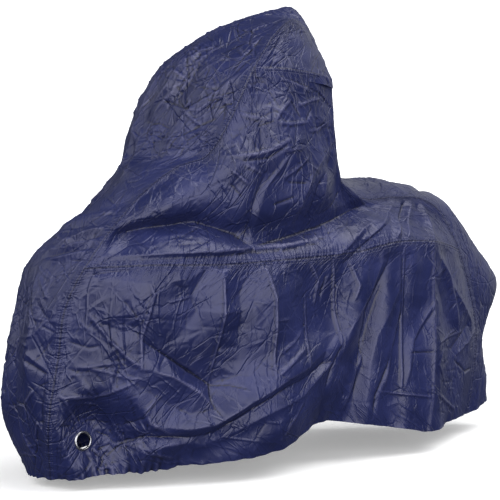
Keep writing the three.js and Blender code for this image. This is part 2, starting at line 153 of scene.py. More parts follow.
# Creases of the left side in side view: sharp ridges, or troughs where they stand out by less than zero
CREASE_CALM_REACH = 40
CREASE_TAPER, CREST_ROUND, CREASE_POWER = (-0.12, 0.2), 0.04, 1.5
LEFT_CREASES = creases(
    # Ledge and tucks under the handlebar
    (75, 16, 17, (-705, 690), (-545, 698), (-400, 702), (-262, 710), (-120, 716), (20, 735)),
    (34, 52, -24, (-668, 752), (-556, 772), (-405, 790), (-290, 752), (-255, 722)),
    (34, 60, -26, (-262, 706), (-92, 740), (60, 772), (193, 810), (330, 850)),
    # Falls from the foot of the windscreen and from the bar
    (60, 75, 14, (-340, 996), (-487, 900), (-622, 810)),
    (26, 40, -11, (-211, 931), (-235, 880), (-254, 825), (-255, 734)),
    (24, 75, 10, (85, 1018), (-12, 951), (-56, 869), (-87, 770)),
    (30, 26, -7, (112, 1000), (10, 900), (-15, 800)),
    (22, 26, 6, (67, 969), (48, 905), (40, 842)),
    # Ledge behind the bar
    (18, 28, 9, (400, 827), (225, 768), (75, 674)),
    (26, 16, -7, (411, 804), (262, 746), (98, 649)),
    # Tail
    (30, 30, 7, (583, 690), (670, 600), (764, 508), (876, 429)),
    (14, 16, 4, (940, 388), (709, 315)),
    (16, 14, -5, (847, 418), (689, 338)),
    # Hood
    (9, 9, 4, (-285, 1123), (-242, 1108), (-184, 1098)),
    (9, 9, -4, (-226, 1078), (-163, 1098)),
    (9, 9, 4, (-163, 1098), (-133, 1134), (-88, 1168)),
    (12, 9, -4, (-166, 1201), (-136, 1140)),
    (9, 12, -4, (-88, 1168), (-51, 1110)),
    (9, 9, 4, (-161, 1092), (-103, 1091), (-23, 1102)),
    (9, 9, -3.5, (-32, 1104), (5, 1148)),
    (10, 9, 3.5, (-61, 1150), (3, 1170), (70, 1184)),
    (9, 9, 3.5, (-24, 1073), (31, 1079), (85, 1108)),
    (14, 14, -4, (-216, 1078), (-223, 1007)),
    (9, 9, 4.5, (-347, 988), (-319, 987), (-262, 991), (-194, 1008), (-115, 1044)),
    (9, 9, -4, (-303, 972), (-205, 983), (-134, 1022)),
    (9, 9, 3.5, (-147, 1003), (-65, 1018)),
    (9, 9, 4, (-337, 944), (-278, 903)),
    (9, 9, -3.5, (-333, 903), (-295, 864)),
    (9, 9, 3.5, (-290, 960), (-222, 934)),
    (10, 10, 4, (-212, 886), (-167, 941), (-129, 994)),
    (10, 10, 4, (-143, 923), (-78, 962), (-36, 997)),
    (9, 9, -3.5, (-126, 911), (-51, 910)),
    (12, 10, -4, (175, 885), (107, 836)),
    (9, 9, -4, (-176, 841), (-96, 866)),
    # Small ones on the ledge
    (10, 10, 4, (24, 769), (19, 731)),
    (10, 10, -4, (98, 778), (76, 731)),
    (10, 10, 4, (163, 794), (158, 746)),
    (9, 9, 3.5, (-560, 742), (-470, 752), (-380, 735)),
    (9, 9, -3.5, (-520, 720), (-400, 728)),
    # Lines pressed in while it lay folded
    (9, 9, 5, (-605, 613), (-596, 579), (-611, 521), (-622, 464), (-624, 368)),
    (9, 8, 5.5, (-377, 618), (-387, 404), (-394, 300)),
    (9, 9, 5.5, (-227, 644), (-205, 561), (-200, 461), (-206, 326)),
    (8, 8, 5, (-53, 571), (-44, 451), (-69, 332)),
    (8, 8, 5, (66, 668), (76, 540), (90, 398)),
    (9, 9, -3.5, (208, 480), (214, 330)),
    (8, 8, 5.5, (398, 693), (392, 461), (384, 213)),
    (12, 12, 3, (561, 690), (547, 521), (542, 386), (519, 83)),
    (8, 8, 3.5, (292, 230), (526, 194)),
    (8, 8, -3.5, (420, 350), (545, 345)),
    (8, 8, 3.5, (565, 375), (812, 398)),
    # Middle of the side
    (8, 8, -4, (-391, 300), (-340, 300), (-293, 287)),
    (10, 10, -5, (-396, 285), (-400, 248), (-379, 210)),
    (8, 8, 3, (-194, 491), (-139, 491)),
    (9, 9, 4, (-175, 393), (-115, 419), (-67, 453)),
    (10, 14, 5, (-209, 318), (-153, 353), (-57, 407)),
    (8, 8, 3, (-94, 238), (-172, 126)),
    (8, 8, 3.5, (-548, 556), (-476, 572)),
    # Front of the side
    (9, 9, 5, (-759, 532), (-706, 451), (-660, 401), (-624, 368)),
    (9, 9, 3.5, (-723, 514), (-694, 491), (-627, 478)),
    (9, 9, -3.5, (-797, 446), (-752, 428), (-727, 434)),
    (9, 9, 3.5, (-783, 371), (-723, 379), (-659, 384)),
    (9, 9, 3.5, (-771, 371), (-711, 359), (-626, 330)),
    (10, 9, 5, (-819, 286), (-731, 283), (-685, 301), (-639, 325)),
    (12, 9, -4, (-673, 565), (-635, 513)),
    (9, 9, -7, (-617, 446), (-502, 375), (-393, 309)),
    (10, 14, -6, (-752, 635), (-694, 646), (-645, 651)),
    # Around the eyelet
    (9, 9, 5, (-557, 285), (-603, 238), (-581, 199), (-525, 170)),
    (9, 9, -4, (-638, 191), (-588, 226)),
    (10, 10, -5, (-691, 174), (-657, 159), (-641, 136)),
    (10, 14, 4, (-829, 308), (-801, 260), (-744, 194)),
    (9, 9, -5, (-683, 120), (-652, 133), (-635, 108)),
    (12, 10, -7, (-637, 140), (-581, 161), (-466, 157)),
    (9, 9, 4, (-710, 88), (-684, 64), (-648, 69)),
    (9, 9, 4, (-609, 139), (-573, 109), (-495, 91)),
    (9, 9, -4, (-655, 180), (-641, 151)),
    # Fan below the seat
    (34, 20, 13, (491, 865), (344, 793), (218, 729)),
    (22, 30, 11, (527, 866), (420, 793), (357, 727)),
    (22, 24, -11, (555, 866), (455, 793), (391, 730)),
    (26, 20, 11, (582, 866), (491, 793), (425, 733)),
    (24, 34, 11, (623, 859), (624, 775), (579, 724)),
    (14, 14, 4, (436, 844), (291, 807), (173, 768)),
    # Rear pleats
    (20, 26, -9, (296, 581), (240, 452), (214, 365)),
    (18, 34, 12, (386, 527), (346, 413), (303, 252)),
    (16, 34, 11, (541, 504), (440, 392), (402, 246)),
    (20, 34, 11, (214, 365), (174, 260), (145, 173)),
    (18, 24, -9, (115, 444), (54, 336), (22, 260)),
    (16, 20, -8, (346, 380), (266, 224), (257, 148)),
    # Below the belt seam
    (9, 9, 4, (-33, 664), (4, 606), (-10, 528)),
    (12, 10, 5, (140, 660), (171, 585), (149, 538)),
    (10, 10, -4, (39, 621), (12, 543)),
    # Foot of the tail
    (18, 30, 9, (637, 661), (721, 510), (753, 421)),
    (9, 9, 4, (608, 364), (561, 301), (635, 223)),
    (9, 9, -5, (709, 301), (826, 246), (905, 250)),
    (9, 10, 5, (563, 198), (754, 118)),
    (8, 8, 4, (730, 404), (609, 381)),
)

# Flat facets of the left side: lines of (x, z, out) places with flat cloth between them
FACET_LINE_STEP = 45
FACET_SHARE = 1.25
LEFT_FACETS = (
    # Seam to the front strip, up to the cap
    [(r["edge_x"], r["edge_z"], 0) for r in FRONT_STRIP[:-3]],
    # Belt seam and hem
    ((-744, 655, 0), (-600, 662, 2), (-490, 660, 6), (-377, 655, 4), (-282, 658, 4), (-227, 660, 8),
     (-130, 664, 2), (-53, 668, 0), (66, 684, 3), (187, 692, 0), (291, 704, 5), (321, 708, 2),
     (376, 718, 8), (398, 720, 6), (480, 722, -3), (570, 722, 4), (700, 706, 2), (845, 682, 0)),
    ((-800, 30, 0), (-752, 38, 0), (-685, 45, 2), (-550, 50, 0), (-409, 63, 6), (-258, 75, 2),
     (-170, 88, 4), (-100, 106, 0), (-25, 130, -4), (65, 148, 6), (175, 135, -6), (300, 114, 6),
     (426, 92, -4), (522, 78, 4), (692, 80, -4), (925, 76, 0)),
    # Seam to the back strip, from the belt down
    [(r["edge_x"], r["edge_z"], 0) for r in BACK_STRIP[-6:]],
    # Front of the side
    ((-605, 613, 18), (-596, 579, 22), (-611, 521, 22), (-622, 455, 8), (-624, 368, 16)),
    ((-733, 615, 8), (-680, 620, 14), (-605, 613, 18), (-503, 622, 20), (-476, 572, 4)),
    ((-476, 572, 4), (-432, 472, 2), (-390, 408, -4)),
    ((-377, 640, 16), (-382, 520, 24), (-390, 408, -4), (-390, 302, -28), (-397, 190, 14)),
    # Middle of the side
    ((-282, 640, 4), (-315, 580, 2), (-345, 555, 6)),
    ((-345, 555, 6), (-318, 524, 8), (-262, 536, 18), (-205, 560, 32)),
    ((-318, 470, 0), (-311, 330, 0)),
    ((-227, 644, 20), (-205, 560, 32), (-200, 461, 26), (-206, 326, 16)),
    ((-622, 455, 8), (-502, 375, -14), (-390, 302, -28)),
    ((-624, 368, 16), (-529, 337, 24), (-446, 288, 18)),
    ((-53, 650, 0), (-44, 451, -4), (-69, 341, 15)),
    ((66, 668, 2), (76, 540, 4), (85, 440, 8)),
    # Pulls to the front wheel
    ((291, 680, 8), (291, 659, 10), (229, 556, 22), (127, 460, 26), (92, 406, 26), (55, 350, 26),
     (-91, 258, 24), (-240, 208, 22), (-350, 154, 16), (-502, 92, 6)),
    ((20, 385, 12), (-69, 341, 15), (-158, 313, 18), (-298, 247, 18), (-397, 190, 14), (-475, 178, 8),
     (-560, 192, 6), (-640, 175, 4)),
    ((10, 345, 6), (-69, 312, 4), (-158, 288, 4), (-298, 224, 4), (-397, 164, 3), (-475, 152, -4),
     (-591, 158, -12), (-628, 132, -8)),
    ((-470, 136, 6), (-530, 134, 10), (-579, 122, 8), (-615, 104, 4)),
    # Rear pleats
    ((321, 690, 2), (321, 656, -2), (269, 565, -6), (235, 500, -8), (195, 330, -7), (190, 200, -6)),
    ((376, 690, 10), (370, 561, 14), (322, 498, 14), (262, 420, 13), (236, 330, 9), (225, 200, 5)),
    ((398, 693, 8), (392, 461, -4), (384, 225, -4), (380, 110, -2)),
    ((500, 470, -4), (469, 424, -8), (414, 311, -8), (384, 225, -4)),
    ((561, 690, 6), (547, 521, 8), (542, 386, 8), (530, 199, 6), (522, 90, 4)),
    # Tail
    ((583, 690, 2), (670, 600, 8), (764, 508, 9), (876, 440, 4)),
    ((600, 560, -8), (640, 470, -8), (620, 400, -4)),
    ((930, 388, 3), (820, 350, 5), (709, 315, 5)),
    ((840, 420, -3), (689, 345, -3)),
    ((690, 260, 6), (680, 130, 4)),
    ((620, 300, -4), (600, 200, -4)),
    # Small ones at the front
    ((-759, 532, 2), (-706, 451, 10), (-660, 401, 4), (-624, 368, 16)),
    ((-723, 514, 10), (-694, 491, 2), (-640, 480, 4)),
    ((-783, 371, 4), (-723, 379, 9), (-672, 384, -4)),
    ((-819, 286, 2), (-731, 283, -8), (-685, 301, -4), (-639, 325, 8)),
    ((-540, 262, 4), (-490, 235, -4), (-429, 205, 2)),
    # Hood
    ((-163, 1098, 7), (-275, 1120, 0)),
    ((-163, 1098, 7), (-88, 1168, 3), (10, 1190, -1)),
    ((-163, 1098, 7), (-223, 1007, -4)),
    ((-163, 1098, 7), (-23, 1102, 2), (85, 1108, 4)),
    ((-160, 1195, -3), (-45, 1215, 3), (60, 1200, -3)),
    ((-319, 985, 3), (-262, 991, 4), (-194, 1008, 5), (-115, 1044, 4)),
    ((45, 1080, -3), (-65, 1018, 4)),
    ((-336, 885, -4), (-265, 840, 4)),
    ((-155, 886, -5), (-160, 800, 2)),
    ((59, 985, -4), (-22, 920, 6), (-51, 810, 2)),
    ((110, 1020, 5), (120, 930, 0)),
    ((-560, 820, 3), (-430, 840, -4)),
    # Ledges and seat
    ((-560, 740, 4), (-420, 748, -4), (-320, 720, 4)),
    ((-90, 700, 3), (60, 735, -3)),
    ((430, 860, 4), (470, 780, -4), (520, 850, 3), (560, 770, -3), (640, 800, 3)),
)

# Creases of the right side, which hangs much like the left
RIGHT_CREASES = creases(
    # Ledge, tuck and falls from the bar
    (70, 20, 12, (-690, 692), (-420, 700), (-180, 708), (40, 735)),
    (60, 42, -16, (-650, 755), (-430, 790), (-270, 725), (-60, 740), (320, 848)),
    (60, 70, 14, (-350, 985), (-480, 905), (-610, 815)),
    (44, 44, 12, (100, 1060), (-80, 810)),
    (40, 40, -10, (-230, 960), (-200, 800)),
    # Hood
    (40, 44, 9, (-180, 1080), (-60, 1180)),
    (40, 36, -9, (-180, 1080), (-320, 1010)),
    (36, 40, 8, (-180, 1080), (60, 1060)),
    # Lines pressed in while it lay folded
    (44, 40, 9, (-600, 610), (-615, 330)),
    (50, 44, -9, (-380, 650), (-390, 210)),
    (54, 60, 12, (-205, 655), (-198, 250)),
    (44, 44, -9, (-40, 655), (-30, 290)),
    (40, 44, 10, (140, 690), (160, 330)),
    (46, 50, 14, (390, 715), (380, 230)),
    # Rear corner, long ridge and hollows
    (60, 46, 16, (610, 830), (575, 700), (550, 100)),
    (62, 90, 18, (330, 690), (90, 410), (-300, 230), (-560, 110)),
    (60, 50, -16, (170, 560), (60, 190)),
    (120, 90, -16, (-640, 470), (-430, 330)),
    (34, 34, 7, (-560, 360), (-300, 350), (-60, 360)),
    (34, 34, -7, (240, 340), (520, 330), (760, 345)),
)

# Folds of the centre strips, along a path of (along, across) places: along is the way from the strip's
# first end, across the distance from its middle line
FRONT_FOLDS = table(
    "width out path",
    (34, 12, [(820, 60), (905, -150)]),
    (32, -12, [(880, 60), (960, -140)]),
    (46, -14, [(1180, -40), (1620, -110)]),
    (50, -12, [(1150, 90), (1600, 120)]),
)
BACK_FOLDS = table(
    "width out path",
    (60, -10, [(380, -90), (700, 70)]),
    (50, -14, [(1180, 0), (1650, 10)]),
)
FRONT_CREASES = creases(
    (26, 30, 11, (830, -185), (795, -118), (730, -27)),
    (22, 26, -9, (800, -186), (772, -130), (712, -20)),
    (24, 28, 10, (778, -188), (755, -149), (705, 10)),
    (20, 24, -8, (752, -186), (728, -140), (690, -10)),
    (22, 30, 10, (731, -180), (700, -125), (670, -43)),
    (70, 46, 14, (640, -13), (552, -43), (447, -69), (386, -63), (288, -79)),
    (50, 50, -9, (120, 10), (330, -10), (560, 40)),
    (40, 46, 9, (180, 90), (430, 80), (620, 100)),
    (12, 12, 4.5, (620, -44), (556, -101)),
    (16, 16, -5, (536, -73), (455, -149)),
    (12, 14, -6, (310, -124), (258, -118), (190, -112)),
    (12, 12, 4.5, (198, -14), (128, -21), (65, -56)),
    (10, 10, 4, (392, -65), (340, -137)),
    (10, 10, -4, (372, -60), (335, -130)),
    (9, 9, 3.5, (600, 20), (520, 0), (440, -20)),
    (34, 50, 11, (1602, -7), (1492, -10), (1405, 5), (1340, 68), (1290, 117)),
    (12, 12, 4.5, (1590, -30), (1480, -36), (1390, -22), (1300, 60)),
    (12, 12, 4.5, (1610, 18), (1500, 16), (1420, 30), (1350, 92)),
    (34, 40, 9, (1290, 117), (1190, 54), (1083, 10)),
    (46, 50, -11, (1620, -60), (1500, -70), (1400, -60), (1290, 20)),
    (26, 30, 8, (1215, -58), (1335, -147), (1385, -222), (1465, -268)),
    (22, 22, -7, (1270, -52), (1360, -156)),
    (18, 18, -6, (1342, -145), (1400, -215)),
    (14, 14, 5, (1310, -157), (1370, -228)),
    (14, 14, -5, (1260, -159), (1300, -234)),
    (14, 16, 5, (1214, -36), (1225, -131), (1255, -213), (1250, -255)),
    (14, 16, -5, (1177, -35), (1185, -147), (1180, -225)),
    (16, 20, 6, (1128, -14), (1168, -74), (1190, -197)),
    (10, 10, 4, (1440, -90), (1540, -190)),
    (10, 10, -4, (1500, -80), (1600, -180)),
    (10, 10, 4, (1560, -60), (1700, -150)),
    (12, 12, 4, (1640, 20), (1780, -60), (1880, -80)),
    (34, 40, 8, (1180, 60), (1300, 180)),
    (40, 46, 10, (1050, 120), (1200, 150), (1400, 140), (1600, 90)),
)
BACK_CREASES = creases(
    (44, 60, 10, (350, -150), (480, -40), (700, 20)),
    (40, 50, -9, (760, -120), (900, 60)),
    (60, 46, 14, (1150, -60), (1330, -30), (1520, -70)),
    (46, 54, -12, (1300, 40), (1500, 70), (1680, 40)),
    (40, 40, 9, (60, -90), (200, -60), (330, -110)),
    (40, 40, -8, (80, 60), (260, 80)),
)

# Crumpled facets: how far apart their corners lie, how far they stand in or out, and how long they are drawn
RASTER = 3.0
CRUMPLE_WIDTH, CRUMPLE_HEIGHT = 2300, 1500
FACET_CORNER = np.array((-960, 0))
CRUMPLES = table(
    "spacing out stretch seed",
    (190, 9.0, 1.0, 11),
    (80, 4.0, 1.2, 12),
    (32, 1.3, 1.3, 13),
)
CRUMPLE_CALM_REACH, CRUMPLE_JITTER = 45, 0.48

# Thin straight creases meeting in stars, scattered over the cloth
STARS = {"count": 800, "fewest": 2, "most": 5, "shortest": 22, "longest": 120, "seed": 31}
STAR_HALF, STAR_OUT, STAR_TURN = (5.5, 9.0), (1.2, 3.2), (0.8, 2.4)

# Where the thinnest creases are more or less marked than over the rest of the cloth, in side view
CRINKLE_BASE = 0.85
CRINKLE_MOST = 2.5
CRINKLE_ZONES = table(
    "place x z reach amount",
    ("rear pleats", 330, 480, 240, -0.6),
    ("side", -120, 480, 170, -0.2),
    ("front wheel", -560, 330, 110, -0.25),
    ("hood", -120, 1040, 200, 0.3),
    ("knee", -740, 480, 120, 0.1),
    ("tail low", 720, 230, 130, 0.4),
    ("shelf", -350, 720, 90, 0.3),
    ("eyelet", -730, 140, 120, 1.3),
    ("screen", -330, 1180, 190, 0.5),
    ("hood top", -60, 1380, 170, 0.5),
    ("nose", -860, 330, 150, 0.3),
)

# How much of each layer of crumples, and of the scattered creases, a panel shows
SHARES = {
    "upper_side_left": (0.0, 0.5, 0.5, 0.4),
    "lower_side_left": (0.0, 0.4, 0.45, 0.4),
    "front_strip": (0.5, 0.7, 0.3, 0.9),
    "back_strip": (0.4, 0.8, 0.6, 0.6),
    "hood_cap": (0.3, 0.8, 0.8, 0.7),
    "upper_side_right": (0.5, 0.4, 0.4, 1.0),
    "lower_side_right": (0.5, 0.4, 0.4, 0.8),
}

# Puckers of the seams and waves of the hem, as waves with random directions
PUCKER = {"out": 0.8, "shortest": 11, "longest": 34, "reach": 26, "count": 14, "seed": 21}
GATHER_OUT = 0.6
GATHER_FROM, GATHER_TO, GATHER_LOW, GATHER_HIGH = -500, 200, 600, 760
GATHER_FADE_X, GATHER_FADE_Z = 80, 30
NOSE_PUCKER_OUT, NOSE_PUCKER_X = 0.1, -600
HEM_WAVE = {"out": 2.6, "shortest": 45, "longest": 110, "reach": 60, "count": 10, "seed": 22}
HEM_GATHER = {"out": 3.6, "shortest": 15, "longest": 26, "reach": 34, "count": 12, "seed": 23}
HEM_GATHER_X = (-520, -430)
HEM_END_FADE = 35

# How far in from a seam the direction that two panels share there is felt
SHARED_REACH = 25

# Light
FLOOR_GLOW = 0.3
WORLD_COLOUR = (0.82, 0.85, 1.0, 1)
WORLD_BELOW, WORLD_ABOVE = 0.1, 0.08
LIGHT_DISTANCE = 6
LIGHTS = table(
    "name azimuth elevation spread strength",
    ("key", -13, 5, 60, 2.4),
    ("front", -72, 30, 60, 2.4),
    ("rear", 106, 22, 56, 0.32),
    ("far", 218, 28, 50, 0.5),
    ("top", 38, 62, 50, 2.3),
)


def smooth(low, high, value):
    t = np.clip((value - low) / (high - low), 0, 1)
    return t * t * (3 - 2 * t)


def unit(v):
    return v / np.maximum(np.linalg.norm(v, axis=-1, keepdims=True), 1e-9)


class Curve:
    """A smooth curve through points, in their order."""

    ARC_STEPS = 1000

    def __init__(self, points):
        self.points = np.array(points, float)

    def at(self, share):
        p = self.points
        s = np.clip(np.asarray(share, float) * (len(p) - 1), 0, len(p) - 1)
        k = np.minimum(s.astype(int), len(p) - 2)
        w = (s - k)[:, None]
        padded = np.vstack([2 * p[0] - p[1], p, 2 * p[-1] - p[-2]])
        p0, p1, p2, p3 = (padded[k + i] for i in range(4))
        d0, d1, d2 = (
            np.sqrt(np.linalg.norm(b - a, axis=1))[:, None] for a, b in ((p0, p1), (p1, p2), (p2, p3))
        )
        m1 = ((p1 - p0) / d0 - (p2 - p0) / (d0 + d1) + (p2 - p1) / d1) * d1
        m2 = ((p2 - p1) / d1 - (p3 - p1) / (d1 + d2) + (p3 - p2) / d2) * d1
        return p1 + m1 * w + (3 * (p2 - p1) - 2 * m1 - m2) * w**2 + (2 * (p1 - p2) + m1 + m2) * w**3

    def spaced(self, steps):
        share = np.linspace(0, 1, self.ARC_STEPS + 1)
        length = run_along(self.at(share))
        return self.at(np.interp(np.linspace(0, length[-1], steps + 1), length, share))


def run_along(points):
    """The way along a line of points, at each of them."""
    return np.concatenate([[0], np.cumsum(np.linalg.norm(np.diff(points, axis=0), axis=1))])


def path_distance(px, py, path):
    """Distance of places from a path, below zero on its right hand, and the share of the path passed."""
    path = np.array(path, float)
    passed = run_along(path)
    nearest, share = np.full(px.shape, 1e9), np.zeros(px.shape)
    for k, (a, b) in enumerate(zip(path, path[1:])):
        d = b - a
        t = np.clip(((px - a[0]) * d[0] + (py - a[1]) * d[1]) / (d @ d), 0, 1)
        away = np.hypot(px - a[0] - t * d[0], py - a[1] - t * d[1])
        hand = np.where(d[0] * (py - a[1]) - d[1] * (px - a[0]) >= 0, 1, -1)
        closer = away < np.abs(nearest)
        nearest = np.where(closer, away * hand, nearest)
        share = np.where(closer, (passed[k] + t * (passed[k + 1] - passed[k])) / passed[-1], share)
    return nearest, share


def fold_height(px, py, fold):
    """Bell-shaped height of a soft fold."""
    away = path_distance(px, py, fold["path"])[0] / fold["width"]
    return fold["out"] * np.exp(-away * away)


def crease_height(px, py, crease):
    """Height of a crease with a sharp crest, nearly flat sides and tapered ends."""
    away, share = path_distance(px, py, crease["path"])
    away = np.abs(away) / np.where(away > 0, crease["left"], crease["right"])
    taper = smooth(*CREASE_TAPER, share) * smooth(*CREASE_TAPER, 1 - share)
    profile = np.clip(1 + CREST_ROUND - np.sqrt(away * away + CREST_ROUND**2), 0, 1)
    return crease["out"] * profile**CREASE_POWER * taper


def strip_grid(rows, legs, strip_folds, strip_creases):
    """A strip's points: rows run along it, columns from its left edge to its right edge."""
    names = [r["at"] for r in rows]
    stations = [np.zeros(1)]
    for start, end, steps in legs:
        first, final = (names.index(x) / (len(names) - 1) for x in (start, end))
        stations.append(np.linspace(first, final, steps + 1)[1:])
    share = np.concatenate(stations)
    centre_line = Curve([(r["centre_x"], 0, r["centre_z"]) for r in rows])
    centre = centre_line.at(share)
    edge = Curve([(r["edge_x"], r["half"], r["edge_z"]) for r in rows]).at(share)
    lead = Curve([(i, r["lead"], 0) for i, r in enumerate(rows)]).at(share)[:, 1]
    t = np.linspace(-1, 1, ACROSS_STRIP + 1)
    grid = centre[:, None] + (edge - centre)[:, None] * (t * t)[None, :, None]
    grid[..., 0] += lead[:, None] * t
    grid[..., 1] = edge[:, 1:2] * t
    along = np.repeat(run_along(centre)[:, None], len(t), axis=1)
    across = grid[..., 1].copy()
    step = 1e-4
    rise = unit(centre_line.at(np.minimum(share + step, 1)) - centre_line.at(np.maximum(share - step, 0)))
    outward = np.stack([-rise[:, 2], np.zeros(len(rise)), rise[:, 0]], axis=1)
    height = sum(fold_height(along, across, f) for f in strip_folds) * (1 - t**4)
    height = height + sum(crease_height(along, across, c) for c in strip_creases) * (1 - t**8)
    return grid + outward[:, None] * height[..., None]


def side_line(start, rows, end, side, steps):
    """Points along one of the side's lines, from its end on one strip to its end on the other."""
    middle = [(r["x"], side * r["half"], r["z"]) for r in rows]
    return Curve([start, *middle, end]).spaced(steps)


def patch(bottom, top, left, right):
    """A four-sided patch stretched between its edges, rows from bottom to top."""
    v = np.linspace(0, 1, len(left))[:, None, None]
    u = np.linspace(0, 1, len(bottom))[None, :, None]
    grid = bottom[None] * (1 - v) + top[None] * v + left[:, None] * (1 - u) + right[:, None] * u
    grid = grid - bottom[0] * (1 - u) * (1 - v) - bottom[-1] * u * (1 - v)
    return grid - top[0] * (1 - u) * v - top[-1] * u * v


def distance_to(points, grid):
    """Distance of each place of a grid from the nearest of some points."""
    tree = kdtree.KDTree(len(points))
    for i, p in enumerate(points):
        tree.insert(p, i)
    tree.balance()
    return np.array([tree.find(p)[2] for p in grid.reshape(-1, 3)]).reshape(grid.shape[:2])


def grid_normals(grid, facing):
    """Directions square to a grid, pointing out of the cover."""
    up, over = np.gradient(grid, axis=0), np.gradient(grid, axis=1)
    return unit(np.cross(over, up)) * facing


FRONT = strip_grid(
    FRONT_STRIP,
    (
        ("hem", "belt", HEM_TO_BELT),
        ("belt", "neck", BELT_TO_NECK),
        ("neck", "cap", NECK_TO_CAP),
        ("cap", "hood front", CAP_FRONT),
        ("hood front", "hood back", CAP_SIDE),
    ),
    FRONT_FOLDS,
    FRONT_CREASES,
)
BACK = strip_grid(
    BACK_STRIP,
    (
        ("cap", "tail top", BACK_TO_SEAT),
        ("tail top", "belt", BELT_TO_NECK),
        ("belt", "hem", HEM_TO_BELT),
    ),
    BACK_FOLDS,
    BACK_CREASES,
)
BELT_ROW = HEM_TO_BELT
NECK_ROW = BELT_ROW + BELT_TO_NECK
CAP_ROW = NECK_ROW + NECK_TO_CAP
HOOD_ROW = CAP_ROW + CAP_FRONT
TAIL_ROW = BACK_TO_SEAT
REAR_BELT_ROW = TAIL_ROW + BELT_TO_NECK


def eyelet_place(side):
    """Centre and outward direction of the eyelet on one side."""
    way = np.array((-math.sin(EYELET_TURN), side * math.cos(EYELET_TURN), EYELET_LEAN))
    return np.array((EYELET_X, side * EYELET_HALF, EYELET_Z), float), unit(way)


def flatten_for_eyelet(grid, side, near_seam_by):
    """The cloth lies flat around an eyelet."""
    centre, normal = eyelet_place(side)
    offset = grid - centre
    share = 1 - smooth(EYELET_FLAT_REACH, EYELET_BLEND_REACH, np.hypot(offset[..., 0], offset[..., 2]))
    grid[..., 1] -= share * smooth(0, EYELET_SEAM_REACH, near_seam_by) * (offset @ normal) / normal[1]


def flat_facets(places, heights, edges=()):
    """A raster of flat facets between places with given heights, with creases along the given edges."""
    made = geometry.delaunay_2d_cdt([Vector(p) for p in places], list(edges), [], 0, 1e-6)
    corners, _, facets, origins = made[:4]
    heights = np.array([heights[o].mean() if o else 0 for o in origins])
    places = np.array(corners)
    raster = np.zeros((int(CRUMPLE_WIDTH / RASTER) + 1, int(CRUMPLE_HEIGHT / RASTER) + 1))
    limit = np.array(raster.shape) - 1
    for corners in facets:
        p, h = places[corners] / RASTER, heights[corners]
        low = np.clip(np.floor(p.min(0)), 0, limit).astype(int)
        high = np.clip(np.ceil(p.max(0)), 0, limit).astype(int)
        x, y = np.meshgrid(np.arange(low[0], high[0] + 1), np.arange(low[1], high[1] + 1), indexing="ij")
        (ax, ay), (bx, by), (cx, cy) = p
        whole = (by - cy) * (ax - cx) + (cx - bx) * (ay - cy)
        if abs(whole) < 1e-9:
            continue
        wa = ((by - cy) * (x - cx) + (cx - bx) * (y - cy)) / whole
        wb = ((cy - ay) * (x - cx) + (ax - cx) * (y - cy)) / whole
        wc = 1 - wa - wb
        inside = (wa >= -1e-6) & (wb >= -1e-6) & (wc >= -1e-6)
        raster[x[inside], y[inside]] = (wa * h[0] + wb * h[1] + wc * h[2])[inside]
    return raster


def random_facets(spacing, stretch, seed):
    """A raster of random flat facets with heights from -1 to 1."""
    rng = np.random.default_rng(seed)
    cell = np.array((spacing * stretch, spacing))
    counts = np.ceil(np.array((CRUMPLE_WIDTH, CRUMPLE_HEIGHT)) / cell).astype(int) + 3
    places = np.stack(np.meshgrid(*(np.arange(n) - 1.0 for n in counts), indexing="ij"), axis=-1)
    places = (places.reshape(-1, 2) + rng.uniform(-CRUMPLE_JITTER, CRUMPLE_JITTER, (counts.prod(), 2))) * cell
    return flat_facets(places, rng.uniform(-1, 1, len(places)))


def placed_facets(rows):
    """A raster of the facets between the listed lines."""
    found, lines = {}, []
    for line in rows:
        line = np.array(line, float)
        run = run_along(line[:, :2])
        steps = max(1, round(run[-1] / FACET_LINE_STEP))
        at = np.unique(np.round(np.concatenate([np.linspace(0, run[-1], steps + 1), run])))
        keys = [(round(x), round(z)) for x, z, _ in zip(*(np.interp(at, run, column) for column in line.T))]
        found.update(zip(keys, np.interp(at, run, line[:, 2])))
        lines.append(keys)
    number = {key: i for i, key in enumerate(found)}
    edges = [(number[a], number[b]) for keys in lines for a, b in zip(keys, keys[1:]) if a != b]
    places = np.array(list(found), float) - FACET_CORNER
    return flat_facets(places, np.array(list(found.values())), edges)


def sampled(raster, x, y):
    """A raster's height at places in millimetres, repeated past its ends."""
    x = np.mod(x, CRUMPLE_WIDTH - RASTER) / RASTER
    y = np.mod(y, CRUMPLE_HEIGHT - RASTER) / RASTER
    i, j = x.astype(int), y.astype(int)
    s, t = x - i, y - j
    low = raster[i, j] * (1 - s) + raster[i + 1, j] * s
    high = raster[i, j + 1] * (1 - s) + raster[i + 1, j + 1] * s
    return low * (1 - t) + high * t


def scattered_creases():
    """A raster of thin straight creases that meet in stars."""
    rng = np.random.default_rng(STARS["seed"])
    size = np.array((CRUMPLE_WIDTH, CRUMPLE_HEIGHT))
    raster = np.zeros((size / RASTER).astype(int) + 1)
    limit = np.array(raster.shape) - 1
    for _ in range(STARS["count"]):
        centre = rng.uniform((0, 0), size)
        turn = rng.uniform(0, 2 * math.pi)
        for _ in range(rng.integers(STARS["fewest"], STARS["most"])):
            turn += rng.uniform(*STAR_TURN)
            way = np.array((math.cos(turn), math.sin(turn)))
            end = centre + way * rng.uniform(STARS["shortest"], STARS["longest"])
            half = rng.uniform(*STAR_HALF)
            out = rng.uniform(*STAR_OUT) * rng.choice((-1, 1))
            low = np.clip((np.minimum(centre, end) - half) // RASTER, 0, limit).astype(int)
            high = np.clip((np.maximum(centre, end) + half) // RASTER + 1, 0, limit).astype(int)
            i, j = np.meshgrid(*(np.arange(a, b + 1) for a, b in zip(low, high)), indexing="ij")
            crease = {"left": half, "right": half, "out": out, "path": [centre, end]}
            raster[i, j] += crease_height(i * RASTER, j * RASTER, crease)
    return raster


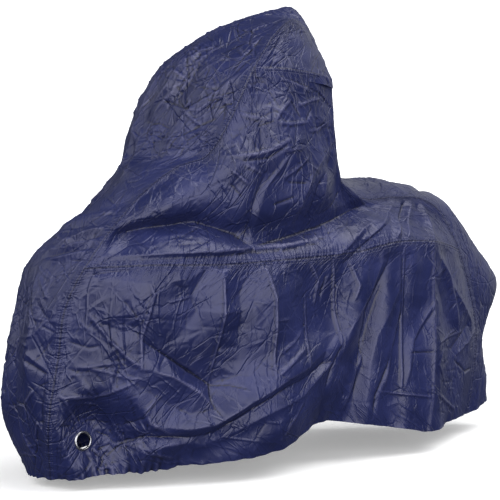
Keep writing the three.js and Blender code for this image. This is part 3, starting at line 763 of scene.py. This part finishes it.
LEFT_FACET_RASTER = placed_facets(LEFT_FACETS)
STAR_RASTER = scattered_creases()
CRUMPLE_RASTERS = [random_facets(c["spacing"], c["stretch"], c["seed"]) for c in CRUMPLES]


def side_panels(side):
    """One side of the cover: its upper and lower panel, and the line of the cap seam."""
    column = 0 if side == LEFT else -1
    front, back = FRONT[:, column], BACK[:, column]
    columns = NECK_TO_CAP + CAP_SIDE + BACK_TO_SEAT
    belt = side_line(front[BELT_ROW], BELT, back[REAR_BELT_ROW], side, columns)
    hem = side_line(front[0], HEM, back[-1], side, columns)
    cap_seam = side_line(front[CAP_ROW], CAP_SEAM, back[0], side, CAP_SIDE)
    top = np.vstack([front[NECK_ROW:CAP_ROW], cap_seam, back[1 : TAIL_ROW + 1]])
    upper = patch(belt, top, front[BELT_ROW : NECK_ROW + 1], back[TAIL_ROW : REAR_BELT_ROW + 1][::-1])
    lower = patch(hem, belt, front[: BELT_ROW + 1], back[REAR_BELT_ROW:][::-1])
    seams = np.vstack([front, back, cap_seam])
    share = 1 if side == LEFT else RIGHT_FOLD_SHARE
    for grid in (upper, lower):
        near = distance_to(seams, grid)
        x, z = grid[..., 0].copy(), grid[..., 2].copy()
        folds = share * sum(fold_height(x, z, f) for f in SIDE_FOLDS)
        grid[..., 1] += side * folds * smooth(0, FOLD_CALM_REACH, near)
        if grid is lower:
            flatten_for_eyelet(grid, side, near)
        heights = sum(crease_height(x, z, c) for c in (LEFT_CREASES if side == LEFT else RIGHT_CREASES))
        if side == LEFT:
            facets = sampled(LEFT_FACET_RASTER, x - FACET_CORNER[0], z - FACET_CORNER[1])
            heights = heights + FACET_SHARE * facets
        calm = smooth(0, CREASE_CALM_REACH, near) * smooth(*EYELET_CALM, np.hypot(x - EYELET_X, z - EYELET_Z))
        grid[..., 1] += side * heights * calm
    return upper, lower, cap_seam


SIDES = {side: side_panels(side) for side in (LEFT, RIGHT)}


def blurred(lines, reach):
    """Directions along a line, evened out over some columns to either hand."""
    padded = np.pad(lines, ((reach, reach), (0, 0)), mode="edge")
    return unit(sum(padded[k : k + len(lines)] for k in range(2 * reach + 1)))


def cap_grid():
    """The hood cap: sides and back of the hood, with a loose hem lapping over the cap seam."""
    seams, downs, outs = [], [], []
    for side in (LEFT, RIGHT):
        upper, _, cap_seam = SIDES[side]
        columns = slice(NECK_TO_CAP, NECK_TO_CAP + CAP_SIDE + 1)
        out = grid_normals(upper, 1 if side == LEFT else -1)[-1, columns]
        down = unit(upper[-2, columns] - cap_seam)
        order = slice(None) if side == LEFT else slice(None, None, -1)
        seams.append(cap_seam[order])
        downs.append(down[order])
        outs.append(out[order])
    back = (BACK[0, 1:-1], unit(BACK[1] - BACK[0])[1:-1], grid_normals(BACK, -1)[0, 1:-1])
    seam, down, out = (
        np.vstack([both[0], middle, both[1]]) for both, middle in zip((seams, downs, outs), back)
    )
    down, out = blurred(down, LAP_BLUR), blurred(out, LAP_BLUR)
    raised = seam + out * LAP_LIFT_AT_SEAM
    hem = seam + down * LAP_DROP + out * LAP_LIFT_AT_HEM
    left, right = FRONT[:, 0], FRONT[:, -1]
    top = np.vstack([left[HOOD_ROW:], FRONT[-1, 1:-1], right[HOOD_ROW:][::-1]])
    front_left = np.vstack([raised[:1], left[CAP_ROW + 1 : HOOD_ROW + 1]])
    front_right = np.vstack([raised[-1:], right[CAP_ROW + 1 : HOOD_ROW + 1]])
    body = patch(raised, top, front_left, front_right)
    drop = np.linspace(0, 1, LAP_ROWS + 1)[:-1, None, None]
    return np.concatenate([hem[None] * (1 - drop) + raised[None] * drop, body])


def crinkle_amount(grid):
    """How marked the thinnest creases are over a panel."""
    amount = CRINKLE_BASE
    for zone in CRINKLE_ZONES:
        away = np.hypot(grid[..., 0] - zone["x"], grid[..., 2] - zone["z"]) / zone["reach"]
        amount = amount + zone["amount"] * np.exp(-away * away)
    return np.clip(amount, 0, CRINKLE_MOST)


def crumple(x, y, offset, shares):
    """Height of the crumpled facets at places of a panel."""
    x, y = x + offset[0], y + offset[1]
    layers = zip(shares, CRUMPLES, CRUMPLE_RASTERS)
    facets = sum(share * layer["out"] * sampled(raster, x, y) for share, layer, raster in layers)
    return facets + shares[-1] * sampled(STAR_RASTER, x, y)


def waves(points, wave):
    """Uneven waves with random directions and lengths, from about -1.5 to 1.5."""
    rng = np.random.default_rng(wave["seed"])
    ways = unit(rng.normal(size=(wave["count"], 3)))
    lengths = rng.uniform(wave["shortest"], wave["longest"], wave["count"])
    phases = rng.uniform(0, 2 * math.pi, wave["count"])
    return np.sin(2 * math.pi * (points @ ways.T) / lengths + phases).sum(-1) * math.sqrt(2 / wave["count"])


def pucker(p):
    """How far a sewn seam's puckers stand out at points of the seam."""
    x, z = p[:, 0], p[:, 2]
    gathered = (
        smooth(GATHER_FROM - GATHER_FADE_X, GATHER_FROM, x)
        * smooth(-GATHER_TO - GATHER_FADE_X, -GATHER_TO, -x)
        * smooth(GATHER_LOW - GATHER_FADE_Z, GATHER_LOW, z)
        * smooth(-GATHER_HIGH - GATHER_FADE_Z, -GATHER_HIGH, -z)
    )
    nose = smooth(-NOSE_PUCKER_X, -NOSE_PUCKER_X + GATHER_FADE_X, -x)
    return (PUCKER["out"] + GATHER_OUT * gathered + NOSE_PUCKER_OUT * nose) * waves(p, PUCKER)


def hem_wave(p):
    """How far the hem waves in and out, more tightly where it is gathered at the front."""
    run = run_along(p)
    ends = smooth(0, HEM_END_FADE, run) * smooth(0, HEM_END_FADE, run[-1] - run)
    front = 1 - smooth(*HEM_GATHER_X, p[:, 0])
    height = HEM_WAVE["out"] * waves(p, HEM_WAVE) + front * HEM_GATHER["out"] * waves(p, HEM_GATHER)
    return height * ends


# Every cloth panel: its grid, the way it faces, its free edges and where it lies in the crumples
PANELS = [
    {"name": "front_strip", "grid": FRONT, "facing": -1, "free": ("first row",), "offset": (90, 400)},
    {"name": "back_strip", "grid": BACK, "facing": -1, "free": ("last row",), "offset": (350, 900)},
    {"name": "hood_cap", "grid": cap_grid(), "facing": 1, "free": ("first row",), "offset": (40, 610)},
]
for side, side_name, offset in ((LEFT, "left", (1000, 0)), (RIGHT, "right", (1430, 370))):
    facing = 1 if side == LEFT else -1
    upper, lower, _ = SIDES[side]
    shared = {"facing": facing, "offset": offset}
    PANELS.append({"name": f"upper_side_{side_name}", "grid": upper, "free": (), **shared})
    PANELS.append({"name": f"lower_side_{side_name}", "grid": lower, "free": ("first row",),
                   "eyelet_side": side, **shared})


def edge_distances(grid):
    """The way along the grid's lines from each of its four edges."""
    down = np.linalg.norm(np.diff(grid, axis=0), axis=2)
    over = np.linalg.norm(np.diff(grid, axis=1), axis=2)
    rows = np.vstack([np.zeros((1, grid.shape[1])), np.cumsum(down, axis=0)])
    columns = np.hstack([np.zeros((grid.shape[0], 1)), np.cumsum(over, axis=1)])
    return {
        "first row": rows,
        "last row": rows[-1:] - rows,
        "first column": columns,
        "last column": columns[:, -1:] - columns,
    }


EDGE_INDEX = {
    "first row": (0, slice(None)),
    "last row": (-1, slice(None)),
    "first column": (slice(None), 0),
    "last column": (slice(None), -1),
}


def share_normals(panels):
    """Panels that meet in a seam share one direction there, which fades into each panel's own."""
    sums, keys = {}, {}
    for panel in panels:
        for edge, index in EDGE_INDEX.items():
            key = [tuple(p) for p in np.round(panel["grid"][index], 1)]
            keys[panel["name"], edge] = key
            for k, n in zip(key, panel["normal"][index]):
                sums[k] = sums.get(k, 0) + n
    for panel in panels:
        own, shared = panel["normal"], {}
        total, weight = np.zeros(own.shape), np.zeros(own.shape[:2])
        for edge in EDGE_INDEX:
            shared[edge] = unit(np.array([sums[k] for k in keys[panel["name"], edge]]))
            near = np.exp(-panel["edges"][edge] / SHARED_REACH)
            total += (shared[edge][None] if "row" in edge else shared[edge][:, None]) * near[..., None]
            weight = np.maximum(weight, near)
        panel["normal"] = unit(own * (1 - weight)[..., None] + unit(total) * weight[..., None])
        for edge, index in EDGE_INDEX.items():
            panel["normal"][index] = shared[edge]


def edge_waves(panel):
    """Puckers and hem waves, carried in from the edges and dying away."""
    grid, edges = panel["grid"], panel["edges"]
    total, weight = 0, 0
    for edge, index in EDGE_INDEX.items():
        line = grid[index]
        free = edge in panel["free"]
        height = hem_wave(line) if free else pucker(line)
        if not free:
            for end in panel["free"]:
                height = height * smooth(0, HEM_END_FADE, edges[end][index])
        reach = HEM_WAVE["reach"] if free else PUCKER["reach"]
        height = height[None, :] if "row" in edge else height[:, None]
        near = 1 / (edges[edge] + 0.01)
        total = total + height * near * np.exp(-edges[edge] / reach)
        weight = weight + near
    return total / weight


def panel_height(panel):
    """How far a panel's cloth stands off its smooth form."""
    grid, edges = panel["grid"], panel["edges"]
    sewn = np.min([d for e, d in edges.items() if e not in panel["free"]], axis=0)
    x, y = edges["first column"], edges["first row"]
    height = crumple(x, y, panel["offset"], SHARES[panel["name"]]) * crinkle_amount(grid) / CRINKLE_BASE
    height = height * smooth(0, CRUMPLE_CALM_REACH, sewn)
    if "eyelet_side" in panel:
        centre, _ = eyelet_place(panel["eyelet_side"])
        height = height * smooth(*EYELET_CALM, np.linalg.norm(grid - centre, axis=2))
    return height + edge_waves(panel)


for panel in PANELS:
    panel["normal"] = grid_normals(panel["grid"], panel["facing"])
    panel["edges"] = edge_distances(panel["grid"])
share_normals(PANELS)
for panel in PANELS:
    panel["cloth"] = panel["grid"] + panel["normal"] * panel_height(panel)[..., None]


def in_row_frame(points):
    return (points - HANG_POINT) * MM


def feed(tree, made, inputs):
    """Sets a node's inputs, each to a constant or to another node's output."""
    for key, value in inputs.items():
        if isinstance(value, bpy.types.NodeSocket):
            tree.links.new(value, made.inputs[key])
        else:
            made.inputs[key].default_value = value


def node(tree, kind, inputs=None, **settings):
    """A shader node with settings and inputs."""
    made = tree.nodes.new(kind)
    for key, value in settings.items():
        setattr(made, key, value)
    feed(tree, made, inputs or {})
    return made


def new_material(name):
    material = bpy.data.materials.new(name)
    material.use_nodes = True
    tree = material.node_tree
    return material, tree, tree.nodes["Principled BSDF"]


def math_node(tree, operation, first, second=0):
    """A sum, product or other of two values, each a number or another node's output."""
    return node(tree, "ShaderNodeMath", {0: first, 1: second}, operation=operation).outputs["Value"]


def stretched(tree, place, over, along, turn=0.0):
    """Places on the cloth, turned and then scaled by different amounts over and along it."""
    inputs = {"Vector": place, "Rotation": (0, 0, turn), "Scale": (1 / over, 1 / along, 1)}
    return node(tree, "ShaderNodeMapping", inputs, vector_type="TEXTURE").outputs["Vector"]


def noise(tree, place, scale, detail):
    inputs = {"Vector": place, "Scale": scale, "Detail": detail, "Roughness": NOISE_ROUGHNESS}
    return node(tree, "ShaderNodeTexNoise", inputs, noise_dimensions="2D").outputs["Fac"]


def ranged(tree, value, low, high, to_low, to_high):
    """A value carried from one range over to another."""
    inputs = {"Value": value, "From Min": low, "From Max": high, "To Min": to_low, "To Max": to_high}
    return node(tree, "ShaderNodeMapRange", inputs).outputs["Result"]


def attribute(tree, name):
    """A value kept at each point of the mesh."""
    return node(tree, "ShaderNodeAttribute", attribute_name=name).outputs["Fac"]


def bands(tree, place, scale, direction):
    inputs = {"Vector": place, "Scale": scale}
    return node(tree, "ShaderNodeTexWave", inputs, bands_direction=direction).outputs["Fac"]


def fading_lines(tree, place, away, half, out, scale, low, high):
    """Height of thin lines, by the distance from them, where a noise fades them in and out."""
    profile = ranged(tree, away, 0, half, 1, 0)
    strength = ranged(tree, noise(tree, place, scale, 1.0), low, high, 0, out)
    return math_node(tree, "MULTIPLY", profile, strength)


def pinched(tree, place, line):
    """Height in metres of straight creases between cells, by places in units of their spacing."""
    inputs = {"Vector": place, "Scale": 1.0}
    cells = node(tree, "ShaderNodeTexVoronoi", inputs, feature="DISTANCE_TO_EDGE", voronoi_dimensions="2D")
    half = line["half"] / line["width"]
    return fading_lines(tree, place, cells.outputs["Distance"], half, line["out"], *PINCH_FADE)


def wrinkled(tree, place, line):
    """Height in metres of fine long wrinkles, by places in units of their width."""
    away = math_node(tree, "SUBTRACT", noise(tree, place, 1.0, 0.0), 0.5)
    away = math_node(tree, "ABSOLUTE", away)
    return fading_lines(tree, place, away, line["half"], line["out"], *WRINKLE_FADE)


def near_seam(tree, name, reach):
    """From 1 at a seam to 0 away from it."""
    return ranged(tree, attribute(tree, name), 0, reach, 1, 0)


def stitches(tree, place, seam):
    """Depth of a dashed line of stitching beside a seam."""
    away = math_node(tree, "SUBTRACT", attribute(tree, seam["name"]), STITCH_FROM_SEAM)
    line = ranged(tree, math_node(tree, "ABSOLUTE", away), 0, STITCH_HALF, -STITCH_DEPTH, 0)
    dashes = bands(tree, place, math.pi / 10 / STITCH_LENGTH, seam["runs"])
    return math_node(tree, "MULTIPLY", line, ranged(tree, dashes, *STITCH_DASH))


# Noise: roughness of all of it; scale and detail of the colour's blotches and of the patches of crest wear
# and painted highlight
NOISE_ROUGHNESS = 0.55
BLOTCHES, WEAR_AND_HIGHLIGHT_PATCHES = (6.0, 4.0), (2.6, 2.0)

# Cloth: places and shades of its colour ramp, its roughness by blotch, and its weave
CLOTH_SHADES = ((0.3, (0.007, 0.0105, 0.050, 1)), (0.75, (0.014, 0.019, 0.082, 1)))
CLOTH_ROUGHNESS = (0.3, 0.7, 0.32, 0.42)
WEAVE_SCALE, WEAVE_STRENGTH, WEAVE_DEPTH = 420.0, 0.12, 0.0002

# Wear and a painted highlight on the crests, painted shade in the troughs and seam grooves: from and to this
# sharpness, and how much of it shows there
CREST_WEAR_AND_HIGHLIGHT, TROUGH_PAINTED_SHADE = (0.12, 1.0, 0, 0.55), (-0.06, -0.7, 0, 0.85)
WEAR_AND_HIGHLIGHT_SPREAD = (0.3, 0.7, 0.4, 1)
SEAM_PAINTED_SHADE = 0.7
CREST_WEAR_AND_HIGHLIGHT_COLOUR, PAINTED_SHADE_COLOUR = (0.10, 0.10, 0.19, 1), (0.004, 0.005, 0.015, 1)

# Thin creases pressed into the cloth, and fine long wrinkles, in metres and degrees; half of a wrinkle is
# a share of the way to the next. They fade by a noise: its scale, and where they start and are full.
PINCHED_LINES = table(
    "width length half out turn",
    (0.060, 0.190, 0.0045, 0.0026, 8),
    (0.054, 0.150, 0.0045, -0.0024, -24),
    (0.046, 0.140, 0.0040, 0.0021, 52),
    (0.042, 0.110, 0.0036, -0.0018, -62),
    (0.030, 0.060, 0.0030, 0.0014, 15),
)
WRINKLES = table(
    "width length half out turn",
    (0.040, 0.200, 0.035, 0.0009, 14),
    (0.026, 0.130, 0.045, -0.0006, -38),
)
PINCH_FADE, WRINKLE_FADE = (0.6, 0.5, 0.7), (0.35, 0.42, 0.62)

# Seams, in metres: ripples for each metre over and along the panel and how far in they reach, the groove,
# and the top stitching beside it
SEAMS = table(
    "name over along reach runs",
    ("seam_row", 130, 16, 0.05, "X"),
    ("seam_column", 22, 130, 0.03, "Y"),
)
SEAM_RIPPLE_OUT, SEAM_GROOVE_HALF, SEAM_GROOVE_DEPTH = 0.006, 0.005, 0.0025
STITCH_FROM_SEAM, STITCH_HALF, STITCH_LENGTH, STITCH_DEPTH = 0.011, 0.0022, 0.006, 0.0012
STITCH_DASH = (0.2, 0.6, 0.4, 1)


def cloth_bumps(tree, place):
    """Height in metres of all that is too fine for the mesh, and how near a seam it is."""
    bumps = 0.0
    for kind, lines in ((pinched, PINCHED_LINES), (wrinkled, WRINKLES)):
        for line in lines:
            across = stretched(tree, place, 1 / line["width"], 1 / line["length"], math.radians(line["turn"]))
            bumps = math_node(tree, "ADD", bumps, kind(tree, across, line))
    bumps = math_node(tree, "MULTIPLY", bumps, attribute(tree, "crinkle"))
    sewn = 0.0
    for seam in SEAMS:
        ripple = noise(tree, stretched(tree, place, seam["over"], seam["along"]), 1.0, 1.0)
        ripple = math_node(tree, "MULTIPLY", ripple, near_seam(tree, seam["name"], seam["reach"]))
        groove = near_seam(tree, seam["name"], SEAM_GROOVE_HALF)
        for height in (
            math_node(tree, "MULTIPLY", ripple, SEAM_RIPPLE_OUT),
            math_node(tree, "MULTIPLY", groove, -SEAM_GROOVE_DEPTH),
            stitches(tree, place, seam),
        ):
            bumps = math_node(tree, "ADD", bumps, height)
        sewn = math_node(tree, "MAXIMUM", sewn, groove)
    return bumps, sewn


def cloth_material():
    """Navy coated nylon: fine plain weave, soft gloss, stiff little crinkles and puckered seams."""
    material, tree, shader = new_material("coated_nylon")
    place = node(tree, "ShaderNodeUVMap", uv_map="cloth_metres").outputs["UV"]
    bumps, sewn = cloth_bumps(tree, place)
    form = node(tree, "ShaderNodeBump", {"Height": bumps, "Strength": 1.0, "Distance": 1.0}).outputs["Normal"]
    threads = math_node(tree, "MULTIPLY", *(bands(tree, place, WEAVE_SCALE, way) for way in "XY"))
    inputs = {"Height": threads, "Normal": form, "Strength": WEAVE_STRENGTH, "Distance": WEAVE_DEPTH}
    weave = node(tree, "ShaderNodeBump", inputs)
    blotch = noise(tree, place, *BLOTCHES)
    colour = node(tree, "ShaderNodeValToRGB", {"Fac": blotch})
    for stop, (position, shade) in zip(colour.color_ramp.elements, CLOTH_SHADES):
        stop.position, stop.color = position, shade
    sharp = attribute(tree, "crease")
    patches = ranged(tree, noise(tree, place, *WEAR_AND_HIGHLIGHT_PATCHES), *WEAR_AND_HIGHLIGHT_SPREAD)
    # Crests turn a lighter grey-lavender in patches: partly wear, partly a painted highlight
    wear_and_highlight = math_node(tree, "MULTIPLY", ranged(tree, sharp, *CREST_WEAR_AND_HIGHLIGHT), patches)
    # Troughs and seam grooves are painted near-black: painted shade where the folds and seams would lie in
    # shadow
    painted_shade = math_node(tree, "MULTIPLY", sewn, SEAM_PAINTED_SHADE)
    painted_shade = math_node(tree, "MAXIMUM", ranged(tree, sharp, *TROUGH_PAINTED_SHADE), painted_shade)
    shown = colour.outputs["Color"]
    for amount, shade in ((wear_and_highlight, CREST_WEAR_AND_HIGHLIGHT_COLOUR), (painted_shade, PAINTED_SHADE_COLOUR)):
        inputs = {"Factor": amount, "A": shown, "B": shade}
        shown = node(tree, "ShaderNodeMix", inputs, data_type="RGBA").outputs["Result"]
    feed(tree, shader, {
        "Normal": weave.outputs["Normal"],
        "Base Color": shown,
        "Roughness": ranged(tree, blotch, *CLOTH_ROUGHNESS),
        "Specular IOR Level": 0.5,
        "Specular Tint": (0.88, 0.86, 1.0, 1),
        "Sheen Weight": 0.04,
        "Sheen Tint": (0.4, 0.45, 0.9, 1),
        "Sheen Roughness": 0.4,
    })
    return material


def metal_material():
    """Bright nickel plate, a little dulled and scratched."""
    material, tree, shader = new_material("nickel_plate")
    place = node(tree, "ShaderNodeTexCoord").outputs["Object"]
    scratches = {"Vector": place, "Scale": 220.0, "Detail": 6.0, "Roughness": 0.7}
    dull = node(tree, "ShaderNodeTexNoise", scratches).outputs["Fac"]
    feed(tree, shader, {
        "Base Color": (0.36, 0.36, 0.38, 1),
        "Metallic": 1.0,
        "Roughness": ranged(tree, dull, 0.3, 0.75, 0.16, 0.4),
    })
    return material


def floor_material():
    """Pale floor that glows a little, so that it stays white."""
    material, tree, shader = new_material("pale_floor")
    grain = node(tree, "ShaderNodeTexNoise", {"Scale": 3.0, "Detail": 2.0}).outputs["Fac"]
    feed(tree, shader, {
        "Base Color": ranged(tree, grain, 0, 1, 0.86, 0.9),
        "Roughness": 0.9,
        "Emission Color": (1, 1, 1, 1),
        "Emission Strength": FLOOR_GLOW,
    })
    return material


def add_object(name, data):
    made = bpy.data.objects.new(name, data)
    bpy.context.scene.collection.objects.link(made)
    return made


def add_mesh(name, points, faces, material):
    mesh = bpy.data.meshes.new(name)
    mesh.from_pydata(points, [], faces)
    mesh.polygons.foreach_set("use_smooth", np.ones(len(mesh.polygons), bool))
    mesh.materials.append(material)
    return add_object(name, mesh)


def crease_sharpness(cloth, normal):
    """How sharply the cloth bends, in millimetres: above zero on a crest, below zero in a trough."""
    padded = np.pad(cloth, ((1, 1), (1, 1), (0, 0)), mode="reflect", reflect_type="odd")
    middle = (padded[2:, 1:-1] + padded[:-2, 1:-1] + padded[1:-1, 2:] + padded[1:-1, :-2]) / 4
    return ((cloth - middle) * normal).sum(axis=2)


def cloth_piece(panel, material):
    """A panel's sheet, with its places on the cloth as a UV map in metres."""
    cloth, grid = panel["cloth"], panel["grid"]
    rows, columns = grid.shape[:2]
    corner = np.arange(rows * columns).reshape(rows, columns)
    faces = (corner[:-1, :-1], corner[:-1, 1:], corner[1:, 1:], corner[1:, :-1])
    faces = np.stack(faces, axis=-1).reshape(-1, 4)
    if panel["facing"] < 0:
        faces = faces[:, ::-1]
    if "eyelet_side" in panel:
        centre, _ = eyelet_place(panel["eyelet_side"])
        middle = cloth.reshape(-1, 3)[faces].mean(axis=1)
        faces = faces[np.linalg.norm(middle - centre, axis=1) > EYELET_CLOTH_HOLE]
    piece = add_mesh(panel["name"] + "_cloth", in_row_frame(cloth.reshape(-1, 3)), faces.tolist(), material)
    down, over = panel["edges"]["first row"], panel["edges"]["first column"]
    uv = np.stack([over, down], axis=-1).reshape(-1, 2) * MM
    layer = piece.data.uv_layers.new(name="cloth_metres")
    loops = np.zeros(len(piece.data.loops), int)
    piece.data.loops.foreach_get("vertex_index", loops)
    layer.data.foreach_set("uv", uv[loops].ravel())
    values = {"crinkle": crinkle_amount(grid), "crease": crease_sharpness(cloth, panel["normal"])}
    for name, way in (("seam_row", "row"), ("seam_column", "column")):
        sewn = [away for edge, away in panel["edges"].items() if way in edge and edge not in panel["free"]]
        values[name] = np.min(sewn, axis=0) * MM
    for name, value in values.items():
        piece.data.attributes.new(name, "FLOAT", "POINT").data.foreach_set("value", value.ravel())
    return piece


def eyelet_piece(name, side, material):
    """A rolled metal ring through the cloth."""
    centre, normal = eyelet_place(side)
    middle, half = (EYELET_HOLE + EYELET_RIM) / 2, (EYELET_RIM - EYELET_HOLE) / 2
    around, section = EYELET_STEPS
    over = unit(np.cross((0, 0, 1), normal))
    up = np.cross(normal, over)
    a = np.linspace(0, 2 * math.pi, around, endpoint=False)[:, None]
    s = np.linspace(0, 2 * math.pi, section, endpoint=False)[None, :]
    radius = middle + half * np.cos(s)
    height = EYELET_BULGE * np.sin(s) * (1 - EYELET_ROLL * np.cos(s))
    ring = (
        centre
        + (radius * np.cos(a))[..., None] * over
        + (radius * np.sin(a))[..., None] * up
        + (height + 0 * a)[..., None] * normal
    )
    i, j = np.meshgrid(np.arange(around), np.arange(section), indexing="ij")
    k, m = (i + 1) % around, (j + 1) % section
    faces = np.stack([i * section + j, k * section + j, k * section + m, i * section + m], axis=-1)
    return add_mesh(name, in_row_frame(ring.reshape(-1, 3)), faces.reshape(-1, 4).tolist(), material)


CLOTH = cloth_material()
METAL = metal_material()
for panel in PANELS:
    piece = cloth_piece(panel, CLOTH)
    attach(piece, "root")
    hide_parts(panel["name"])
for side, name in ((LEFT, "eyelet_left"), (RIGHT, "eyelet_right")):
    ring = eyelet_piece(name + "_ring", side, METAL)
    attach(ring, "root")
    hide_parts(name)

# Stage: a pale floor that sweeps up into a pale wall all around
SWEEP_FLOOR, SWEEP_CURVE, SWEEP_HEIGHT = 7.0, 2.5, 4.5
SWEEP_MIDDLE, SWEEP_SIDES, SWEEP_STEPS = 0.01, 96, 12


def sweep_piece(material):
    """A round floor that curves up into a wall."""
    bend = np.linspace(0, math.pi / 2, SWEEP_STEPS + 1)
    curve = SWEEP_FLOOR + SWEEP_CURVE * np.sin(bend)
    radius = np.concatenate([[SWEEP_MIDDLE], curve, [SWEEP_FLOOR + SWEEP_CURVE]])
    height = np.concatenate([[0], SWEEP_CURVE * (1 - np.cos(bend)), [SWEEP_HEIGHT]])
    turn = np.linspace(0, 2 * math.pi, SWEEP_SIDES, endpoint=False)[:, None]
    points = np.stack([radius * np.cos(turn), radius * np.sin(turn), height + 0 * turn], axis=-1)
    count = len(radius)
    i, j = np.meshgrid(np.arange(SWEEP_SIDES), np.arange(count - 1), indexing="ij")
    k = (i + 1) % SWEEP_SIDES
    faces = np.stack([i * count + j, i * count + j + 1, k * count + j + 1, k * count + j], axis=-1)
    middle = (np.arange(SWEEP_SIDES) * count).tolist()
    return add_mesh("floor", points.reshape(-1, 3), faces.reshape(-1, 4).tolist() + [middle], material)


floor = sweep_piece(floor_material())
floor.location.z = -HANG_POINT[2] * MM
floor.visible_diffuse = False
floor.visible_glossy = False
floor.visible_shadow = False
world = bpy.data.worlds.new("studio")
bpy.context.scene.world = world
world.use_nodes = True
sky = world.node_tree
way = node(sky, "ShaderNodeSeparateXYZ", {"Vector": node(sky, "ShaderNodeTexCoord").outputs["Generated"]})
glow = ranged(sky, way.outputs["Z"], -1, 1, WORLD_BELOW, WORLD_ABOVE)
feed(sky, sky.nodes["Background"], {"Color": WORLD_COLOUR, "Strength": glow})

# Camera: level with the belt of the cover, ahead of its left side
CAMERA_AZIMUTH = math.radians(-38)
CAMERA_DISTANCE, CAMERA_HEIGHT = 4500, 810
# The photograph's width, focal length and how far its middle lies below the horizon, in pixels
PHOTO_WIDTH, PHOTO_FOCAL, PHOTO_DROP = 500, 1350, 35
SENSOR_WIDTH = 36
camera = add_object("camera", bpy.data.cameras.new("camera"))
eye = np.array((math.sin(CAMERA_AZIMUTH), -math.cos(CAMERA_AZIMUTH), 0)) * CAMERA_DISTANCE
eye[2] = CAMERA_HEIGHT
camera.location = in_row_frame(eye)
camera.rotation_euler = (math.pi / 2 - math.atan(PHOTO_DROP / PHOTO_FOCAL), 0, CAMERA_AZIMUTH)
camera.data.lens = SENSOR_WIDTH * PHOTO_FOCAL / PHOTO_WIDTH
camera.data.sensor_width = SENSOR_WIDTH
bpy.context.scene.camera = camera
bpy.context.scene.view_settings.view_transform = "Standard"


def soft_sun(name, azimuth, elevation, spread, strength):
    """A broad soft light from far away."""
    light = add_object(name, bpy.data.lights.new(name, "SUN"))
    a, e = math.radians(azimuth), math.radians(elevation)
    back = Vector((math.sin(a) * math.cos(e), -math.cos(a) * math.cos(e), math.sin(e)))
    light.location = back * LIGHT_DISTANCE
    light.rotation_mode = "QUATERNION"
    light.rotation_quaternion = back.to_track_quat("Z", "Y")
    light.data.angle = math.radians(spread)
    light.data.energy = strength


for light in LIGHTS:
    soft_sun(**light)
